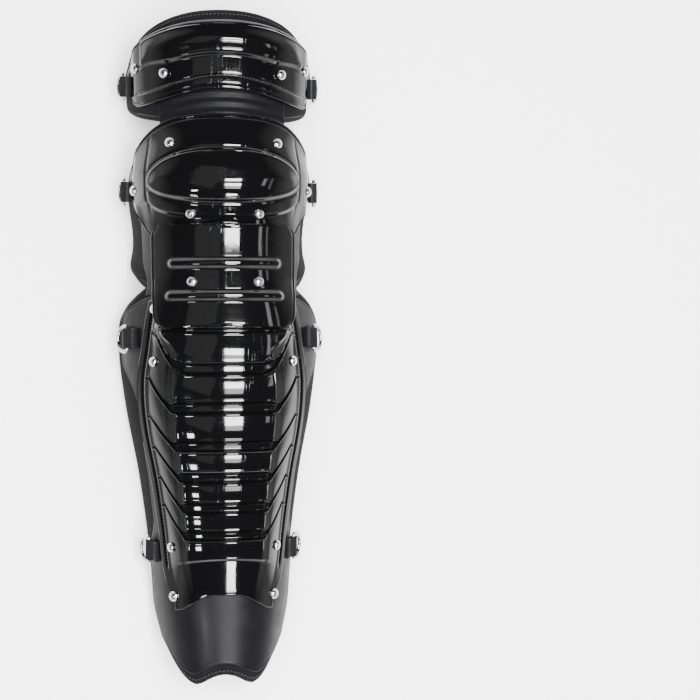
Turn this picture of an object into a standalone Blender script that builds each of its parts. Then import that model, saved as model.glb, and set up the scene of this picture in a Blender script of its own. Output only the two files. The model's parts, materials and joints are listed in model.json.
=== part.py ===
"""Umpire leg guard, lying on its back: a padded leg channel under moulded plates.

Every piece is a layer of one leg form. A point on the form has a station, in metres from the
foot end, and a turn, from -1 at the left edge over 0 at the crown to 1 at the right edge. A layer
stands off the form by its own distance, so pieces nest with an even gap.
"""

import math

import bmesh
import bpy
import numpy as np
from mathutils import Matrix, Vector
from mathutils.bvhtree import BVHTree

# Driving dimensions, in metres
CHANNEL_HALF_WIDTH = 0.064
CHANNEL_DEPTH = 0.075
WING_FLARE = 0.017
LINER_LENGTH = 0.3835
TONGUE_LENGTH = 0.072
FOOT_RISE = 0.060
FOOT_NOTCH = 0.0095
LINER_WALL = 0.007
KNEE_LAP = 0.035
KNEE_PAD_LENGTH = 0.144
KNEE_ARCH = 0.060
THIGH_PAD_LENGTH = 0.098
THIGH_ARCH = 0.062
PAD_WALL = 0.008
CUSHION_RISE = 0.004
SHELL_WALL = 0.002
SHELL_MARGIN = 0.010
SHELL_CLEARANCE = 0.003
LINK_WALL = 0.002
PLATE_WALL = 0.003
SHIN_PLATE_LENGTH = 0.263
SHIN_PLATE_LAP = 0.005
BAND_RISE = 0.008
BAND_GROOVE = 0.0035
BAND_SWEEP = 0.024
BAND_SAG = 0.005
KNEE_PLATE_LENGTH = 0.0965
KNEE_PLATE_REACH = 0.0075
DOME_RISE = 0.007
LENS_RISE = 0.005
THIGH_PLATE_LENGTH = 0.060
THIGH_RIM = 0.0095
THIGH_BULGE = 0.009
FLAP_DROP = 0.029
FLAP_LAP = 0.001
FLAP_RIB = 0.003
NECK_LENGTH = 0.052
LINK_LAP = 0.022
VENT_SIDE = 0.024
VENT_CORNER = 0.005
NECK_SIDE = 0.43
THIGH_PLATE_SIDE = 0.82
KNEE_PLATE_SIDE = 0.80
RIVET_RADIUS = 0.0045
RIVET_HEIGHT = 0.0026
WIRE_RADIUS = 0.0015
RING_HALF_WIDTH = 0.0115
RING_REACH = 0.0130
WEBBING_WIDTH = 0.018
WEBBING_WALL = 0.0014
TAB_LENGTH = 0.012
LAYER_GAP = 0.0009
SEAT_GAP = 0.0003
REST_BAND = 0.004

# Places along the guard, each from the piece that it meets
KNEE_PAD_START = LINER_LENGTH - KNEE_LAP
KNEE_PAD_END = KNEE_PAD_START + KNEE_PAD_LENGTH
THIGH_PAD_START = KNEE_PAD_END + SEAT_GAP
GUARD_LENGTH = THIGH_PAD_START + THIGH_PAD_LENGTH
SHELL_START = SHELL_MARGIN + FOOT_NOTCH
SHELL_END = KNEE_PAD_START - SHELL_CLEARANCE
SHIN_PLATE_END = KNEE_PAD_START - SHIN_PLATE_LAP
SHIN_PLATE_START = SHIN_PLATE_END - SHIN_PLATE_LENGTH
KNEE_PLATE_END = KNEE_PAD_END + KNEE_PLATE_REACH
KNEE_PLATE_START = KNEE_PLATE_END - KNEE_PLATE_LENGTH
THIGH_PLATE_END = GUARD_LENGTH - THIGH_RIM
THIGH_PLATE_START = THIGH_PLATE_END - THIGH_PLATE_LENGTH
FLAP_START = SHIN_PLATE_END - FLAP_DROP
FLAP_END = KNEE_PLATE_START + FLAP_LAP
FLAP_LENGTH = FLAP_END - FLAP_START
NECK_START = (KNEE_PLATE_END + THIGH_PLATE_START - NECK_LENGTH) / 2
LINK_START = SHIN_PLATE_END + SEAT_GAP
LINK_END = KNEE_PLATE_START + LINK_LAP

# Stand-off of each layer's inner face from the leg form
SHELL_IN = LINER_WALL + LAYER_GAP
SHIN_PLATE_IN = SHELL_IN + SHELL_WALL + LAYER_GAP
PAD_IN = LINER_WALL + 2 * LAYER_GAP
LINK_IN = PAD_IN + PAD_WALL + LAYER_GAP
PLATE_IN = LINK_IN
PLATE_OVER_LINK_IN = LINK_IN + LINK_WALL + LAYER_GAP
FLAP_IN = max(PLATE_OVER_LINK_IN, SHIN_PLATE_IN + BAND_RISE) + PLATE_WALL + LAYER_GAP

# The leg form: station as a share of the guard's length, then shares of the channel's half width
# and depth and of the wing flare
FORM_POWER = 2.2
FORM_COLUMNS = ("station", "half_width", "depth", "flare")
FORM = np.array([
    (0.000, 0.648, 0.747, 0.15),
    (0.059, 0.727, 0.767, 0.15),
    (0.118, 0.805, 0.780, 0.15),
    (0.177, 0.844, 0.813, 0.15),
    (0.312, 1.000, 0.893, 0.15),
    (0.422, 1.164, 0.940, 0.25),
    (0.489, 1.205, 0.967, 0.40),
    (0.520, 1.185, 0.973, 0.55),
    (0.550, 1.130, 0.980, 0.85),
    (0.574, 1.063, 0.984, 1.00),
    (0.600, 0.961, 0.987, 0.65),
    (0.640, 0.938, 0.997, 0.15),
    (0.743, 1.000, 1.000, 0.05),
    (0.827, 1.000, 0.960, 0.05),
    (0.878, 1.010, 0.927, 0.05),
    (0.928, 1.030, 0.933, 0.05),
    (1.000, 1.030, 0.907, 0.05),
])

# The shin plate's side edge: share of the plate's length, then its turn
SHIN_EDGE = np.array([
    (0.00, 0.490),
    (0.08, 0.555),
    (0.22, 0.575),
    (0.38, 0.600),
    (0.55, 0.640),
    (0.70, 0.630),
    (0.82, 0.575),
    (1.00, 0.560),
])

# Grooves across the shin plate: start and end as shares of its length
GROOVES = (
    (0.112, 0.134),
    (0.186, 0.218),
    (0.276, 0.312),
    (0.378, 0.413),
    (0.481, 0.517),
    (0.606, 0.646),
    (0.736, 0.776),
    (0.872, 0.890),
)

# Vents through the liner and the shell: station as a share of the liner's length, and the
# distance from the middle as a share of the vent's side
VENTS = ((0.678, -1.08), (0.678, 1.08), (0.531, -0.94), (0.531, 0.94), (0.387, 0.0))

# Rivets, one pair a row: the plate, share of its length, turn
RIVETS = (
    ("thigh_plate", 0.240, 0.360),
    ("thigh_plate", 0.360, 0.620),
    ("knee_plate", 0.740, 0.320),
    ("knee_plate", 0.335, 0.640),
    ("knee_plate", 0.095, 0.198),
    ("knee_flap", 0.444, 0.190),
    ("shin_plate", 0.955, 0.480),
    ("shin_plate", 0.780, 0.445),
    ("shin_plate", 0.160, 0.425),
    ("shin_plate", -0.006, 0.440),
)

# Webbing tabs with their rings, one pair a row: name, the piece that the tab lies on, station as
# a share of that piece's length, and turn
TABS = (
    ("thigh", "thigh_plate", 0.140, 0.740),
    ("knee", "knee_plate", 0.340, 0.755),
    ("calf", "shin_shell", 0.880, 0.690),
    ("ankle", "shin_shell", 0.300, 0.690),
)


def clear_scene():
    for obj in list(bpy.data.objects):
        bpy.data.objects.remove(obj, do_unlink=True)


def smooth_column(table, column, x):
    """Cubic through the table's rows: the column's value at each x of the first column."""
    xs, ys = table[:, 0], table[:, column]
    x = np.clip(x, xs[0], xs[-1])
    slope = np.gradient(ys, xs)
    i = np.clip(np.searchsorted(xs, x) - 1, 0, len(xs) - 2)
    span = xs[i + 1] - xs[i]
    r = (x - xs[i]) / span
    return (
        (2 * r**3 - 3 * r**2 + 1) * ys[i]
        + (r**3 - 2 * r**2 + r) * span * slope[i]
        + (3 * r**2 - 2 * r**3) * ys[i + 1]
        + (r**3 - r**2) * span * slope[i + 1]
    )


def smooth_step(x, low, high):
    """0 below low, 1 above high, and smooth between; low above high turns it round."""
    r = np.clip((x - low) / (high - low), 0.0, 1.0)
    return r * r * (3 - 2 * r)


def form_curve(station, turn):
    """The leg form's x and z: a superellipse across each station, flared near its edges."""
    share = station / GUARD_LENGTH
    half = CHANNEL_HALF_WIDTH * smooth_column(FORM, FORM_COLUMNS.index("half_width"), share)
    depth = CHANNEL_DEPTH * smooth_column(FORM, FORM_COLUMNS.index("depth"), share)
    flare = WING_FLARE * smooth_column(FORM, FORM_COLUMNS.index("flare"), share)
    angle = turn * math.pi / 2
    sine, cosine = np.sin(angle), np.cos(angle)
    x = half * np.sign(sine) * np.abs(sine) ** (2 / FORM_POWER)
    x = x + np.sign(turn) * flare * smooth_step(np.abs(turn), 0.55, 1.1)
    z = depth * np.sign(cosine) * np.abs(cosine) ** (2 / FORM_POWER)
    return x, z


def form_normal(station, turn):
    """Unit normal of the form in the plane of its station, pointing away from the leg."""
    step = 1e-3
    x0, z0 = form_curve(station, turn - step)
    x1, z1 = form_curve(station, turn + step)
    dx, dz = x1 - x0, z1 - z0
    length = np.hypot(dx, dz)
    return -dz / length, dx / length


def form_point(station, turn, stand_off):
    """World place of a layer's point; the guard's length is centred on the origin."""
    x, z = form_curve(station, turn)
    nx, nz = form_normal(station, turn)
    return x + stand_off * nx, station - GUARD_LENGTH / 2, z + stand_off * nz


# Outlines: each gives the station of an end edge at a turn


def liner_bottom(turn):
    lobe = 0.33
    size = np.abs(turn)
    notch = FOOT_NOTCH * np.clip(1 - (size / lobe) ** 2, 0, 1) ** 2
    return notch + FOOT_RISE * (np.clip(size - lobe, 0, 1) / (1 - lobe)) ** 1.6


def liner_top(turn):
    return LINER_LENGTH - TONGUE_LENGTH * np.abs(turn) ** 2.6


def shell_bottom(turn):
    return liner_bottom(turn) + SHELL_MARGIN


def shell_top(turn):
    return SHELL_END - 0.7 * TONGUE_LENGTH * np.abs(turn) ** 6


def knee_pad_bottom(turn):
    return KNEE_PAD_START + 0.35 * KNEE_ARCH * smooth_step(np.abs(turn), 0.55, 1.0)


def knee_pad_top(turn):
    return KNEE_PAD_END - KNEE_ARCH * np.abs(turn) ** 3


def thigh_pad_bottom(turn):
    return THIGH_PAD_START + 0.36 * THIGH_ARCH * np.abs(turn) ** 2.5


def thigh_pad_top(turn):
    return GUARD_LENGTH - THIGH_ARCH * (0.72 * turn**2 + 0.28 * np.abs(turn) ** 6)


def shin_plate_bottom(turn):
    size = np.abs(turn) / SHIN_EDGE[0, 1]
    lobe = 0.014 * smooth_step(size, 0.15, 0.85)
    return SHIN_PLATE_START - lobe + 0.006 * smooth_step(size, 0.88, 1.1)


def shin_plate_top(turn):
    return SHIN_PLATE_END - 0.004 * smooth_step(np.abs(turn), 0.3, 0.6)


def knee_plate_bottom(turn):
    size = np.abs(turn)
    fall = 0.17 * KNEE_PLATE_LENGTH * smooth_step(size, 0.0, 0.47)
    return KNEE_PLATE_START - fall + 0.52 * KNEE_PLATE_LENGTH * smooth_step(size, 0.42, 0.84)


def knee_plate_top(turn):
    return KNEE_PLATE_END - 1.15 * KNEE_PLATE_LENGTH * np.abs(turn) ** 3


def thigh_plate_bottom(turn):
    size = np.abs(turn)
    fall = 0.20 * THIGH_PLATE_LENGTH * smooth_step(size, 0.0, 0.60)
    return THIGH_PLATE_START - fall + 0.34 * THIGH_PLATE_LENGTH * smooth_step(size, 0.60, 0.82)


def thigh_plate_top(turn):
    return thigh_pad_top(turn) - THIGH_RIM


def link_top(turn):
    return LINK_END - 0.6 * LINK_LAP * smooth_step(np.abs(turn), 0.3, 0.6)


# Stand-offs: each gives the outer face of a layer at a station and a turn


def plate_base(turn):
    """Outer face of a plate that rests on a pad at its sides and over a link at its middle."""
    over_link = smooth_step(np.abs(turn), 0.72, 0.62)
    return PLATE_IN + PLATE_WALL + (PLATE_OVER_LINK_IN - PLATE_IN) * over_link


def thigh_plate_face(station, turn):
    low, high = thigh_plate_bottom(turn), thigh_plate_top(turn)
    along = (station - low) / (high - low)
    bulge = smooth_step(along, 0.42, 0.56) * (1 - 0.7 * smooth_step(along, 0.75, 1.0))
    return plate_base(turn) + THIGH_BULGE * bulge * smooth_step(np.abs(turn), 0.60, 0.44)


def knee_plate_face(station, turn):
    low, high = knee_plate_bottom(turn), knee_plate_top(turn)
    along = (station - low) / (high - low)
    size = np.abs(turn)
    dome = smooth_step(station, FLAP_END, FLAP_END + 0.3 * KNEE_PLATE_LENGTH)
    dome = dome * smooth_step(along, 0.98, 0.60)
    dome = dome * smooth_step(size, 0.78, 0.35)
    middle = KNEE_PLATE_START + 0.39 * KNEE_PLATE_LENGTH
    bow = np.clip(1 - (size / 0.46) ** 2, 0, 1)
    upper = middle + 0.29 * KNEE_PLATE_LENGTH * bow
    lower = middle - 0.19 * KNEE_PLATE_LENGTH * bow
    edge = 0.05 * KNEE_PLATE_LENGTH
    lens = smooth_step(station, lower, lower + edge) * smooth_step(station, upper, upper - edge)
    lens = lens * smooth_step(size, 0.46, 0.38)
    return plate_base(turn) + DOME_RISE * dome + LENS_RISE * lens


def knee_flap_face(station, turn):
    along = (station - FLAP_START) / FLAP_LENGTH
    ribs = smooth_step(np.abs(along - 0.62), 0.07, 0.02) + smooth_step(np.abs(along - 0.31), 0.07, 0.02)
    return FLAP_IN + PLATE_WALL + FLAP_RIB * ribs * smooth_step(np.abs(turn), 0.36, 0.28)


def band_shift(station, across):
    """How far a band's line lies from its place at the crown: it sags, then sweeps up outwards."""
    sag = BAND_SAG * np.clip(across / 0.5, 0, 1) ** 2
    sweep = (BAND_SWEEP + BAND_SAG) * smooth_step(across, 0.46, 0.86)
    return (sweep - sag) * ends_fade(station)


def shin_plate_face(station, turn):
    edge = smooth_column(SHIN_EDGE, 1, (station - SHIN_PLATE_START) / SHIN_PLATE_LENGTH)
    across = np.abs(turn) / edge
    body = 0.55 * smooth_step(across, 0.86, 0.66) + 0.45 * smooth_step(across, 0.66, 0.46)
    unswept = station - band_shift(station, across)
    along = (unswept - SHIN_PLATE_START) / SHIN_PLATE_LENGTH
    groove = np.zeros_like(along)
    for start, end in GROOVES:
        middle, half = (start + end) / 2, (end - start) / 2
        groove = groove + np.clip(1 - (np.abs(along - middle) / half) ** 2, 0, 1)
    foot = smooth_step(along, 0.0, 0.10)
    rise = BAND_RISE * body * (0.35 + 0.65 * foot) - BAND_GROOVE * groove * body
    return SHIN_PLATE_IN + PLATE_WALL + rise


def ends_fade(station):
    """0 at the shin plate's two ends and 1 along its bands."""
    along = (station - SHIN_PLATE_START) / SHIN_PLATE_LENGTH
    return smooth_step(along, 0.02, 0.16) * smooth_step(along, 0.99, 0.86)


# Making pieces


def material(name, colour, roughness, metallic=0.0):
    made = bpy.data.materials.new(name)
    made.use_nodes = True
    shader = made.node_tree.nodes["Principled BSDF"]
    shader.inputs["Base Color"].default_value = (*colour, 1.0)
    shader.inputs["Roughness"].default_value = roughness
    shader.inputs["Metallic"].default_value = metallic
    return made


def new_object(name, mesh, finish, collection):
    obj = bpy.data.objects.new(name, mesh)
    mesh.materials.clear()
    mesh.materials.append(finish)
    collection.objects.link(obj)
    return obj


def layer(name, wall, face, low, high, side, across, along, finish, collection, shift=None):
    """A curved wall: its outer face on the form, thickened inwards by a Solidify modifier.

    across and along are rising shares, one for each line of the grid: across of the half piece
    from the crown to its side edge, along of the way from the low end edge to the high one.
    side gives the turn of the side edge at an along share, and shift moves the grid's lines
    along the guard, so that they follow a relief.
    """
    columns = np.concatenate([-np.array(across[:0:-1]), across])
    mesh = bpy.data.meshes.new(name)
    bm = bmesh.new()
    bmesh.ops.create_grid(bm, x_segments=len(columns) - 1, y_segments=len(along) - 1, size=1)
    grid = np.array([vert.co for vert in bm.verts])
    i = np.rint((grid[:, 0] + 1) / 2 * (len(columns) - 1)).astype(int)
    j = np.rint((grid[:, 1] + 1) / 2 * (len(along) - 1)).astype(int)
    share = np.array(along)[j]
    turn = columns[i] * side(share)
    station = low(turn) + (high(turn) - low(turn)) * share
    if shift:
        station = station + shift(station, np.abs(columns[i]))
    places = np.stack(form_point(station, turn, face(station, turn)), axis=1)
    for vert, place in zip(bm.verts, places):
        vert.co = place
    bm.to_mesh(mesh)
    bm.free()
    mesh.shade_smooth()
    obj = new_object(name, mesh, finish, collection)
    solid = obj.modifiers.new("Wall", "SOLIDIFY")
    solid.thickness = wall
    solid.offset = -1
    return obj, station, turn


def thicken_cushion(obj, wall, rise, share):
    """Weights the wall's thickness, so that a cushion stands out of its inner face."""
    group = obj.vertex_groups.new(name="cushion")
    for index, value in enumerate(share):
        group.add([index], float(value), "REPLACE")
    solid = obj.modifiers["Wall"]
    solid.thickness = wall + rise
    solid.vertex_group = group.name
    solid.thickness_vertex_group = wall / (wall + rise)


def settle(obj):
    """Applies the modifiers and flattens the lower edges onto the surface that they rest on."""
    graph = bpy.context.evaluated_depsgraph_get()
    mesh = bpy.data.meshes.new_from_object(obj.evaluated_get(graph))
    obj.modifiers.clear()
    obj.vertex_groups.clear()
    obj.data = mesh
    for vert in mesh.vertices:
        if vert.co.z < REST_BAND:
            vert.co.z = 0.0


def even(count):
    return [k / count for k in range(count + 1)]


def dense_above(share, below, above):
    """Rows that are even up to a share and closer together above it."""
    return [share * k / below for k in range(below)] + [
        share + (1 - share) * k / above for k in range(above + 1)
    ]


def knee_pad_rows():
    """Rows of the knee pad: one ends its lap with the tongue, and the rest are even."""
    lap = (KNEE_LAP + REST_BAND) / KNEE_PAD_LENGTH
    return [lap * k / 4 for k in range(5)] + [lap + (1 - lap) * k / 7 for k in range(1, 8)]


def full_side(share):
    return np.ones_like(share)


def shell_side(share):
    """Turn of the shell's side edge: a foot guard, a thin strip, then wings."""
    strip = smooth_step(share, 0.22, 0.38) * smooth_step(share, 0.86, 0.70)
    return 0.84 - 0.16 * strip


def shin_plate_side(share):
    return smooth_column(SHIN_EDGE, 1, share)


def thigh_plate_side(share):
    """Turn of the thigh plate's side edge: it draws in towards the top."""
    return THIGH_PLATE_SIDE * (1 - 0.20 * np.clip((share - 0.35) / 0.65, 0, 1) ** 2.4)


def flap_side(share):
    """A rounded rectangle: the side edge draws in at both ends."""
    end = np.abs(2 * share - 1)
    return 0.475 * (1 - 0.32 * np.clip((end - 0.6) / 0.4, 0, 1) ** 2.2)


def link_side(share):
    return 0.56 + 0.09 * smooth_step(share, 0.0, 0.5)


def groove_rows():
    rows = [0.0, 0.05]
    for start, end in GROOVES:
        rows += [start, (start + end) / 2, end]
    return rows + [0.94, 1.0]


def cut_vents(pieces, cutters):
    for number, (along, across) in enumerate(VENTS, start=1):
        bm = bmesh.new()
        bmesh.ops.create_cube(bm, size=1)
        upright = [e for e in bm.edges if abs(e.verts[0].co.z - e.verts[1].co.z) > 0.5]
        for vert in bm.verts:
            vert.co = Vector((VENT_SIDE * vert.co.x, VENT_SIDE * vert.co.y, CHANNEL_DEPTH * vert.co.z))
        bmesh.ops.bevel(bm, geom=upright, offset=VENT_CORNER, segments=3, affect="EDGES", profile=0.5)
        mesh = bpy.data.meshes.new(f"vent_cutter_{number}")
        bm.to_mesh(mesh)
        bm.free()
        cutter = bpy.data.objects.new(mesh.name, mesh)
        cutters.objects.link(cutter)
        cutter.location = (
            across * VENT_SIDE, along * LINER_LENGTH - GUARD_LENGTH / 2, CHANNEL_DEPTH
        )
        cutter.hide_render = True
        cutter.display_type = "WIRE"
        for piece in pieces:
            cut = piece.modifiers.new(f"Vent {number}", "BOOLEAN")
            cut.operation = "DIFFERENCE"
            cut.object = cutter


def turned_rivet(finish):
    """A domed head turned about Z, its flat face at z = 0; its mesh is shared by every rivet."""
    profile = (
        (0.0, RIVET_HEIGHT),
        (0.55 * RIVET_RADIUS, 0.86 * RIVET_HEIGHT),
        (0.92 * RIVET_RADIUS, 0.42 * RIVET_HEIGHT),
        (RIVET_RADIUS, 0.0),
        (0.0, 0.0),
    )
    mesh = bpy.data.meshes.new("rivet_profile")
    mesh.from_pydata([(x, 0, z) for x, z in profile], [(k, k + 1) for k in range(4)], [])
    guide = bpy.data.objects.new("rivet_guide", mesh)
    bpy.context.scene.collection.objects.link(guide)
    screw = guide.modifiers.new("Turn", "SCREW")
    screw.steps = screw.render_steps = 8
    screw.use_merge_vertices = True
    screw.merge_threshold = 1e-5
    graph = bpy.context.evaluated_depsgraph_get()
    turned = bpy.data.meshes.new_from_object(guide.evaluated_get(graph))
    bpy.data.objects.remove(guide, do_unlink=True)
    turned.name = "rivet"
    turned.materials.append(finish)
    return turned


def mirrored(vector, sign):
    return Vector((sign * vector.x, vector.y, vector.z))


def seat_on(surface, station, turn, half_length, half_width):
    """The frame of a fitting on a piece: X away from the crown, Z out of the surface.

    The origin is where a line down the form's normal meets the piece, raised until a flat foot
    of the given half sizes clears every facet under it. A pair of fittings is seated as mirror
    images: the frame is found on the right, and both sides' facets are cleared.
    """
    size, sign = abs(turn), math.copysign(1, turn)
    reach = FLAP_IN + CHANNEL_DEPTH / 2
    x, y, z = form_point(np.array(station), np.array(size), reach)
    nx, nz = form_normal(np.array(station), np.array(size))
    point, normal, _, _ = surface.ray_cast(Vector((x, y, z)), Vector((-nx, 0, -nz)))
    outward = Vector((1, 0, 0))
    down = (outward - outward.dot(normal) * normal).normalized()
    sideways = normal.cross(down)
    highest = 0.0
    for across in (-1, -0.5, 0, 0.5, 1):
        for along in (-1, -0.5, 0, 0.5, 1):
            foot = point + across * half_length * down + along * half_width * sideways
            for side in (-1, 1):
                start = mirrored(foot + reach / 4 * normal, side)
                hit, _, _, _ = surface.ray_cast(start, -mirrored(normal, side))
                if hit is not None:
                    highest = max(highest, (mirrored(hit, side) - point).dot(normal))
    place = mirrored(point + (highest + SEAT_GAP) * normal, sign)
    down, normal = mirrored(down, sign), mirrored(normal, sign)
    axes = Matrix((down, normal.cross(down), normal)).transposed()
    return Matrix.Translation(place) @ axes.to_4x4()


def ring_mesh(finish):
    """A D of round wire: a straight bar on the Y axis and a half ellipse towards +X."""
    points = []
    for k in range(7):
        angle = math.pi * (k / 6 - 0.5)
        points.append((RING_REACH * math.cos(angle) ** 0.75, RING_HALF_WIDTH * math.sin(angle)))
    curve = bpy.data.curves.new("ring_wire", "CURVE")
    curve.dimensions = "3D"
    curve.bevel_depth = WIRE_RADIUS
    curve.bevel_resolution = 1
    spline = curve.splines.new("POLY")
    spline.points.add(len(points) - 1)
    for point, (x, y) in zip(spline.points, points):
        point.co = (x, y, 0, 1)
    spline.use_cyclic_u = True
    guide = bpy.data.objects.new("ring_guide", curve)
    bpy.context.scene.collection.objects.link(guide)
    graph = bpy.context.evaluated_depsgraph_get()
    mesh = bpy.data.meshes.new_from_object(guide.evaluated_get(graph))
    bpy.data.objects.remove(guide, do_unlink=True)
    bpy.data.curves.remove(curve)
    mesh.name = "ring"
    mesh.materials.clear()
    mesh.materials.append(finish)
    return mesh


LOOP_RADIUS = WIRE_RADIUS + SEAT_GAP + WEBBING_WALL / 2
BAR_HEIGHT = WEBBING_WALL / 2 + LOOP_RADIUS


def tab_object(name, finish, collection):
    """Webbing folded round the ring's bar: along X, with the bar's axis at x = 0, z = BAR_HEIGHT."""
    low = WEBBING_WALL / 2
    path = [(-TAB_LENGTH, low), (-0.6 * LOOP_RADIUS, low)]
    for k in range(1, 6):
        angle = -math.pi / 2 + math.pi * k / 6
        path.append((LOOP_RADIUS * math.cos(angle), BAR_HEIGHT + LOOP_RADIUS * math.sin(angle)))
    path.append((-0.6 * LOOP_RADIUS, BAR_HEIGHT + LOOP_RADIUS))
    path.append((-0.6 * TAB_LENGTH, low + WEBBING_WALL + SEAT_GAP))
    path.append((-TAB_LENGTH, low + WEBBING_WALL + SEAT_GAP))
    mesh = bpy.data.meshes.new(name)
    half = WEBBING_WIDTH / 2
    verts = [(x, side * half, z) for x, z in path for side in (-1, 1)]
    faces = [(2 * k, 2 * k + 2, 2 * k + 3, 2 * k + 1) for k in range(len(path) - 1)]
    mesh.from_pydata(verts, [], faces)
    obj = new_object(name, mesh, finish, collection)
    wall = obj.modifiers.new("Wall", "SOLIDIFY")
    wall.thickness = WEBBING_WALL
    wall.offset = 0
    return obj


def build():
    clear_scene()
    scene = bpy.context.scene.collection
    guard = bpy.data.collections.new("umpire_leg_guard")
    cutters = bpy.data.collections.new("cutters")
    scene.children.link(guard)
    scene.children.link(cutters)
    gloss = material("gloss_plastic", (0.010, 0.010, 0.011), 0.08)
    satin = material("satin_plastic", (0.020, 0.020, 0.022), 0.38)
    fabric = material("liner_fabric", (0.030, 0.029, 0.034), 0.95)
    webbing = material("webbing", (0.015, 0.015, 0.016), 0.85)
    chrome = material("chrome", (0.80, 0.80, 0.82), 0.12, 1.0)

    # Soft layers
    liner, _, _ = layer(
        "shin_liner", LINER_WALL, lambda station, turn: LINER_WALL + 0 * station,
        liner_bottom, liner_top, full_side, even(9), dense_above(0.74, 12, 8), fabric, guard,
    )
    settle(liner)
    knee_pad, station, turn = layer(
        "knee_pad", PAD_WALL, lambda station, turn: PAD_IN + PAD_WALL + 0 * station,
        knee_pad_bottom, knee_pad_top, full_side, even(9), knee_pad_rows(), fabric, guard,
    )
    along = (station - KNEE_PAD_START - KNEE_LAP) / (KNEE_PAD_LENGTH - KNEE_LAP)
    bean = smooth_step(along, 0.05, 0.18) * smooth_step(along, 0.92, 0.76)
    thicken_cushion(knee_pad, PAD_WALL, CUSHION_RISE, bean * smooth_step(np.abs(turn), 0.72, 0.55))
    settle(knee_pad)
    thigh_pad, station, turn = layer(
        "thigh_pad", PAD_WALL, lambda station, turn: PAD_IN + PAD_WALL + 0 * station,
        thigh_pad_bottom, thigh_pad_top, full_side, even(9), even(6), fabric, guard,
    )
    along = (station - THIGH_PAD_START) / THIGH_PAD_LENGTH
    panel = smooth_step(along, 0.06, 0.22) * smooth_step(along, 0.92, 0.74)
    thicken_cushion(thigh_pad, PAD_WALL, CUSHION_RISE, panel * smooth_step(np.abs(turn), 0.80, 0.62))
    settle(thigh_pad)

    # Moulded layers
    shell, _, _ = layer(
        "shin_shell", SHELL_WALL, lambda station, turn: SHELL_IN + SHELL_WALL + 0 * station,
        shell_bottom, shell_top, shell_side, even(9), dense_above(0.78, 11, 7), satin, guard,
    )
    cut_vents((liner, shell), cutters)
    shin_plate, _, _ = layer(
        "shin_plate", PLATE_WALL, shin_plate_face, shin_plate_bottom, shin_plate_top,
        shin_plate_side, (0, 0.23, 0.46, 0.56, 0.66, 0.77, 0.86, 0.93, 1), groove_rows(),
        gloss, guard, band_shift,
    )
    knee_plate, _, _ = layer(
        "knee_plate", PLATE_WALL, knee_plate_face, knee_plate_bottom, knee_plate_top,
        lambda share: KNEE_PLATE_SIDE + 0 * share, even(10), even(12), gloss, guard,
    )
    thigh_plate, _, _ = layer(
        "thigh_plate", PLATE_WALL, thigh_plate_face, thigh_plate_bottom, thigh_plate_top,
        thigh_plate_side, even(10), even(10), gloss, guard,
    )
    layer(
        "neck_plate", LINK_WALL, lambda station, turn: LINK_IN + LINK_WALL + 0 * station,
        lambda turn: NECK_START + 0 * turn, lambda turn: NECK_START + NECK_LENGTH + 0 * turn,
        lambda share: NECK_SIDE + 0 * share, even(6), even(5), satin, guard,
    )
    layer(
        "link_plate", LINK_WALL, lambda station, turn: LINK_IN + LINK_WALL + 0 * station,
        lambda turn: LINK_START + 0 * turn, link_top, link_side, even(6), even(6), satin, guard,
    )
    flap, _, _ = layer(
        "knee_flap", PLATE_WALL, knee_flap_face, lambda turn: FLAP_START + 0 * turn,
        lambda turn: FLAP_END + 0 * turn, flap_side, even(6),
        (0, 0.08, 0.18, 0.25, 0.31, 0.37, 0.40, 0.50, 0.55, 0.62, 0.69, 0.79, 0.92, 1), gloss, guard,
    )

    # Fittings, each seated on the piece that carries it
    bpy.context.view_layer.update()
    graph = bpy.context.evaluated_depsgraph_get()
    spans = {
        "thigh_plate": (THIGH_PLATE_START, THIGH_PLATE_LENGTH),
        "knee_plate": (KNEE_PLATE_START, KNEE_PLATE_LENGTH),
        "knee_flap": (FLAP_START, FLAP_LENGTH),
        "shin_plate": (SHIN_PLATE_START, SHIN_PLATE_LENGTH),
        "shin_shell": (SHELL_START, SHELL_END - SHELL_START),
    }
    pieces = {obj.name: obj for obj in (thigh_plate, knee_plate, flap, shin_plate, shell)}
    trees = {name: BVHTree.FromObject(obj, graph) for name, obj in pieces.items()}
    head = turned_rivet(chrome)
    for number, (plate, along, turn) in enumerate(RIVETS, start=1):
        start, length = spans[plate]
        for side, sign in (("left", -1), ("right", 1)):
            rivet = bpy.data.objects.new(f"rivet_{number}_{side}", head)
            rivet.matrix_world = seat_on(
                trees[plate], start + along * length, sign * turn, RIVET_RADIUS, RIVET_RADIUS
            )
            guard.objects.link(rivet)
    wire = ring_mesh(chrome)
    for name, plate, along, turn in TABS:
        start, length = spans[plate]
        for side, sign in (("left", -1), ("right", 1)):
            seat = seat_on(
                trees[plate], start + along * length, sign * turn, TAB_LENGTH / 2, WEBBING_WIDTH / 2
            )
            tab = tab_object(f"{name}_tab_{side}", webbing, guard)
            tab.matrix_world = seat @ Matrix.Translation((TAB_LENGTH / 2, 0, 0))
            ring = bpy.data.objects.new(f"{name}_ring_{side}", wire)
            ring.matrix_world = tab.matrix_world @ Matrix.Translation((0, 0, BAR_HEIGHT))
            guard.objects.link(ring)


build()
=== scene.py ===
import json
import math

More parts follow.
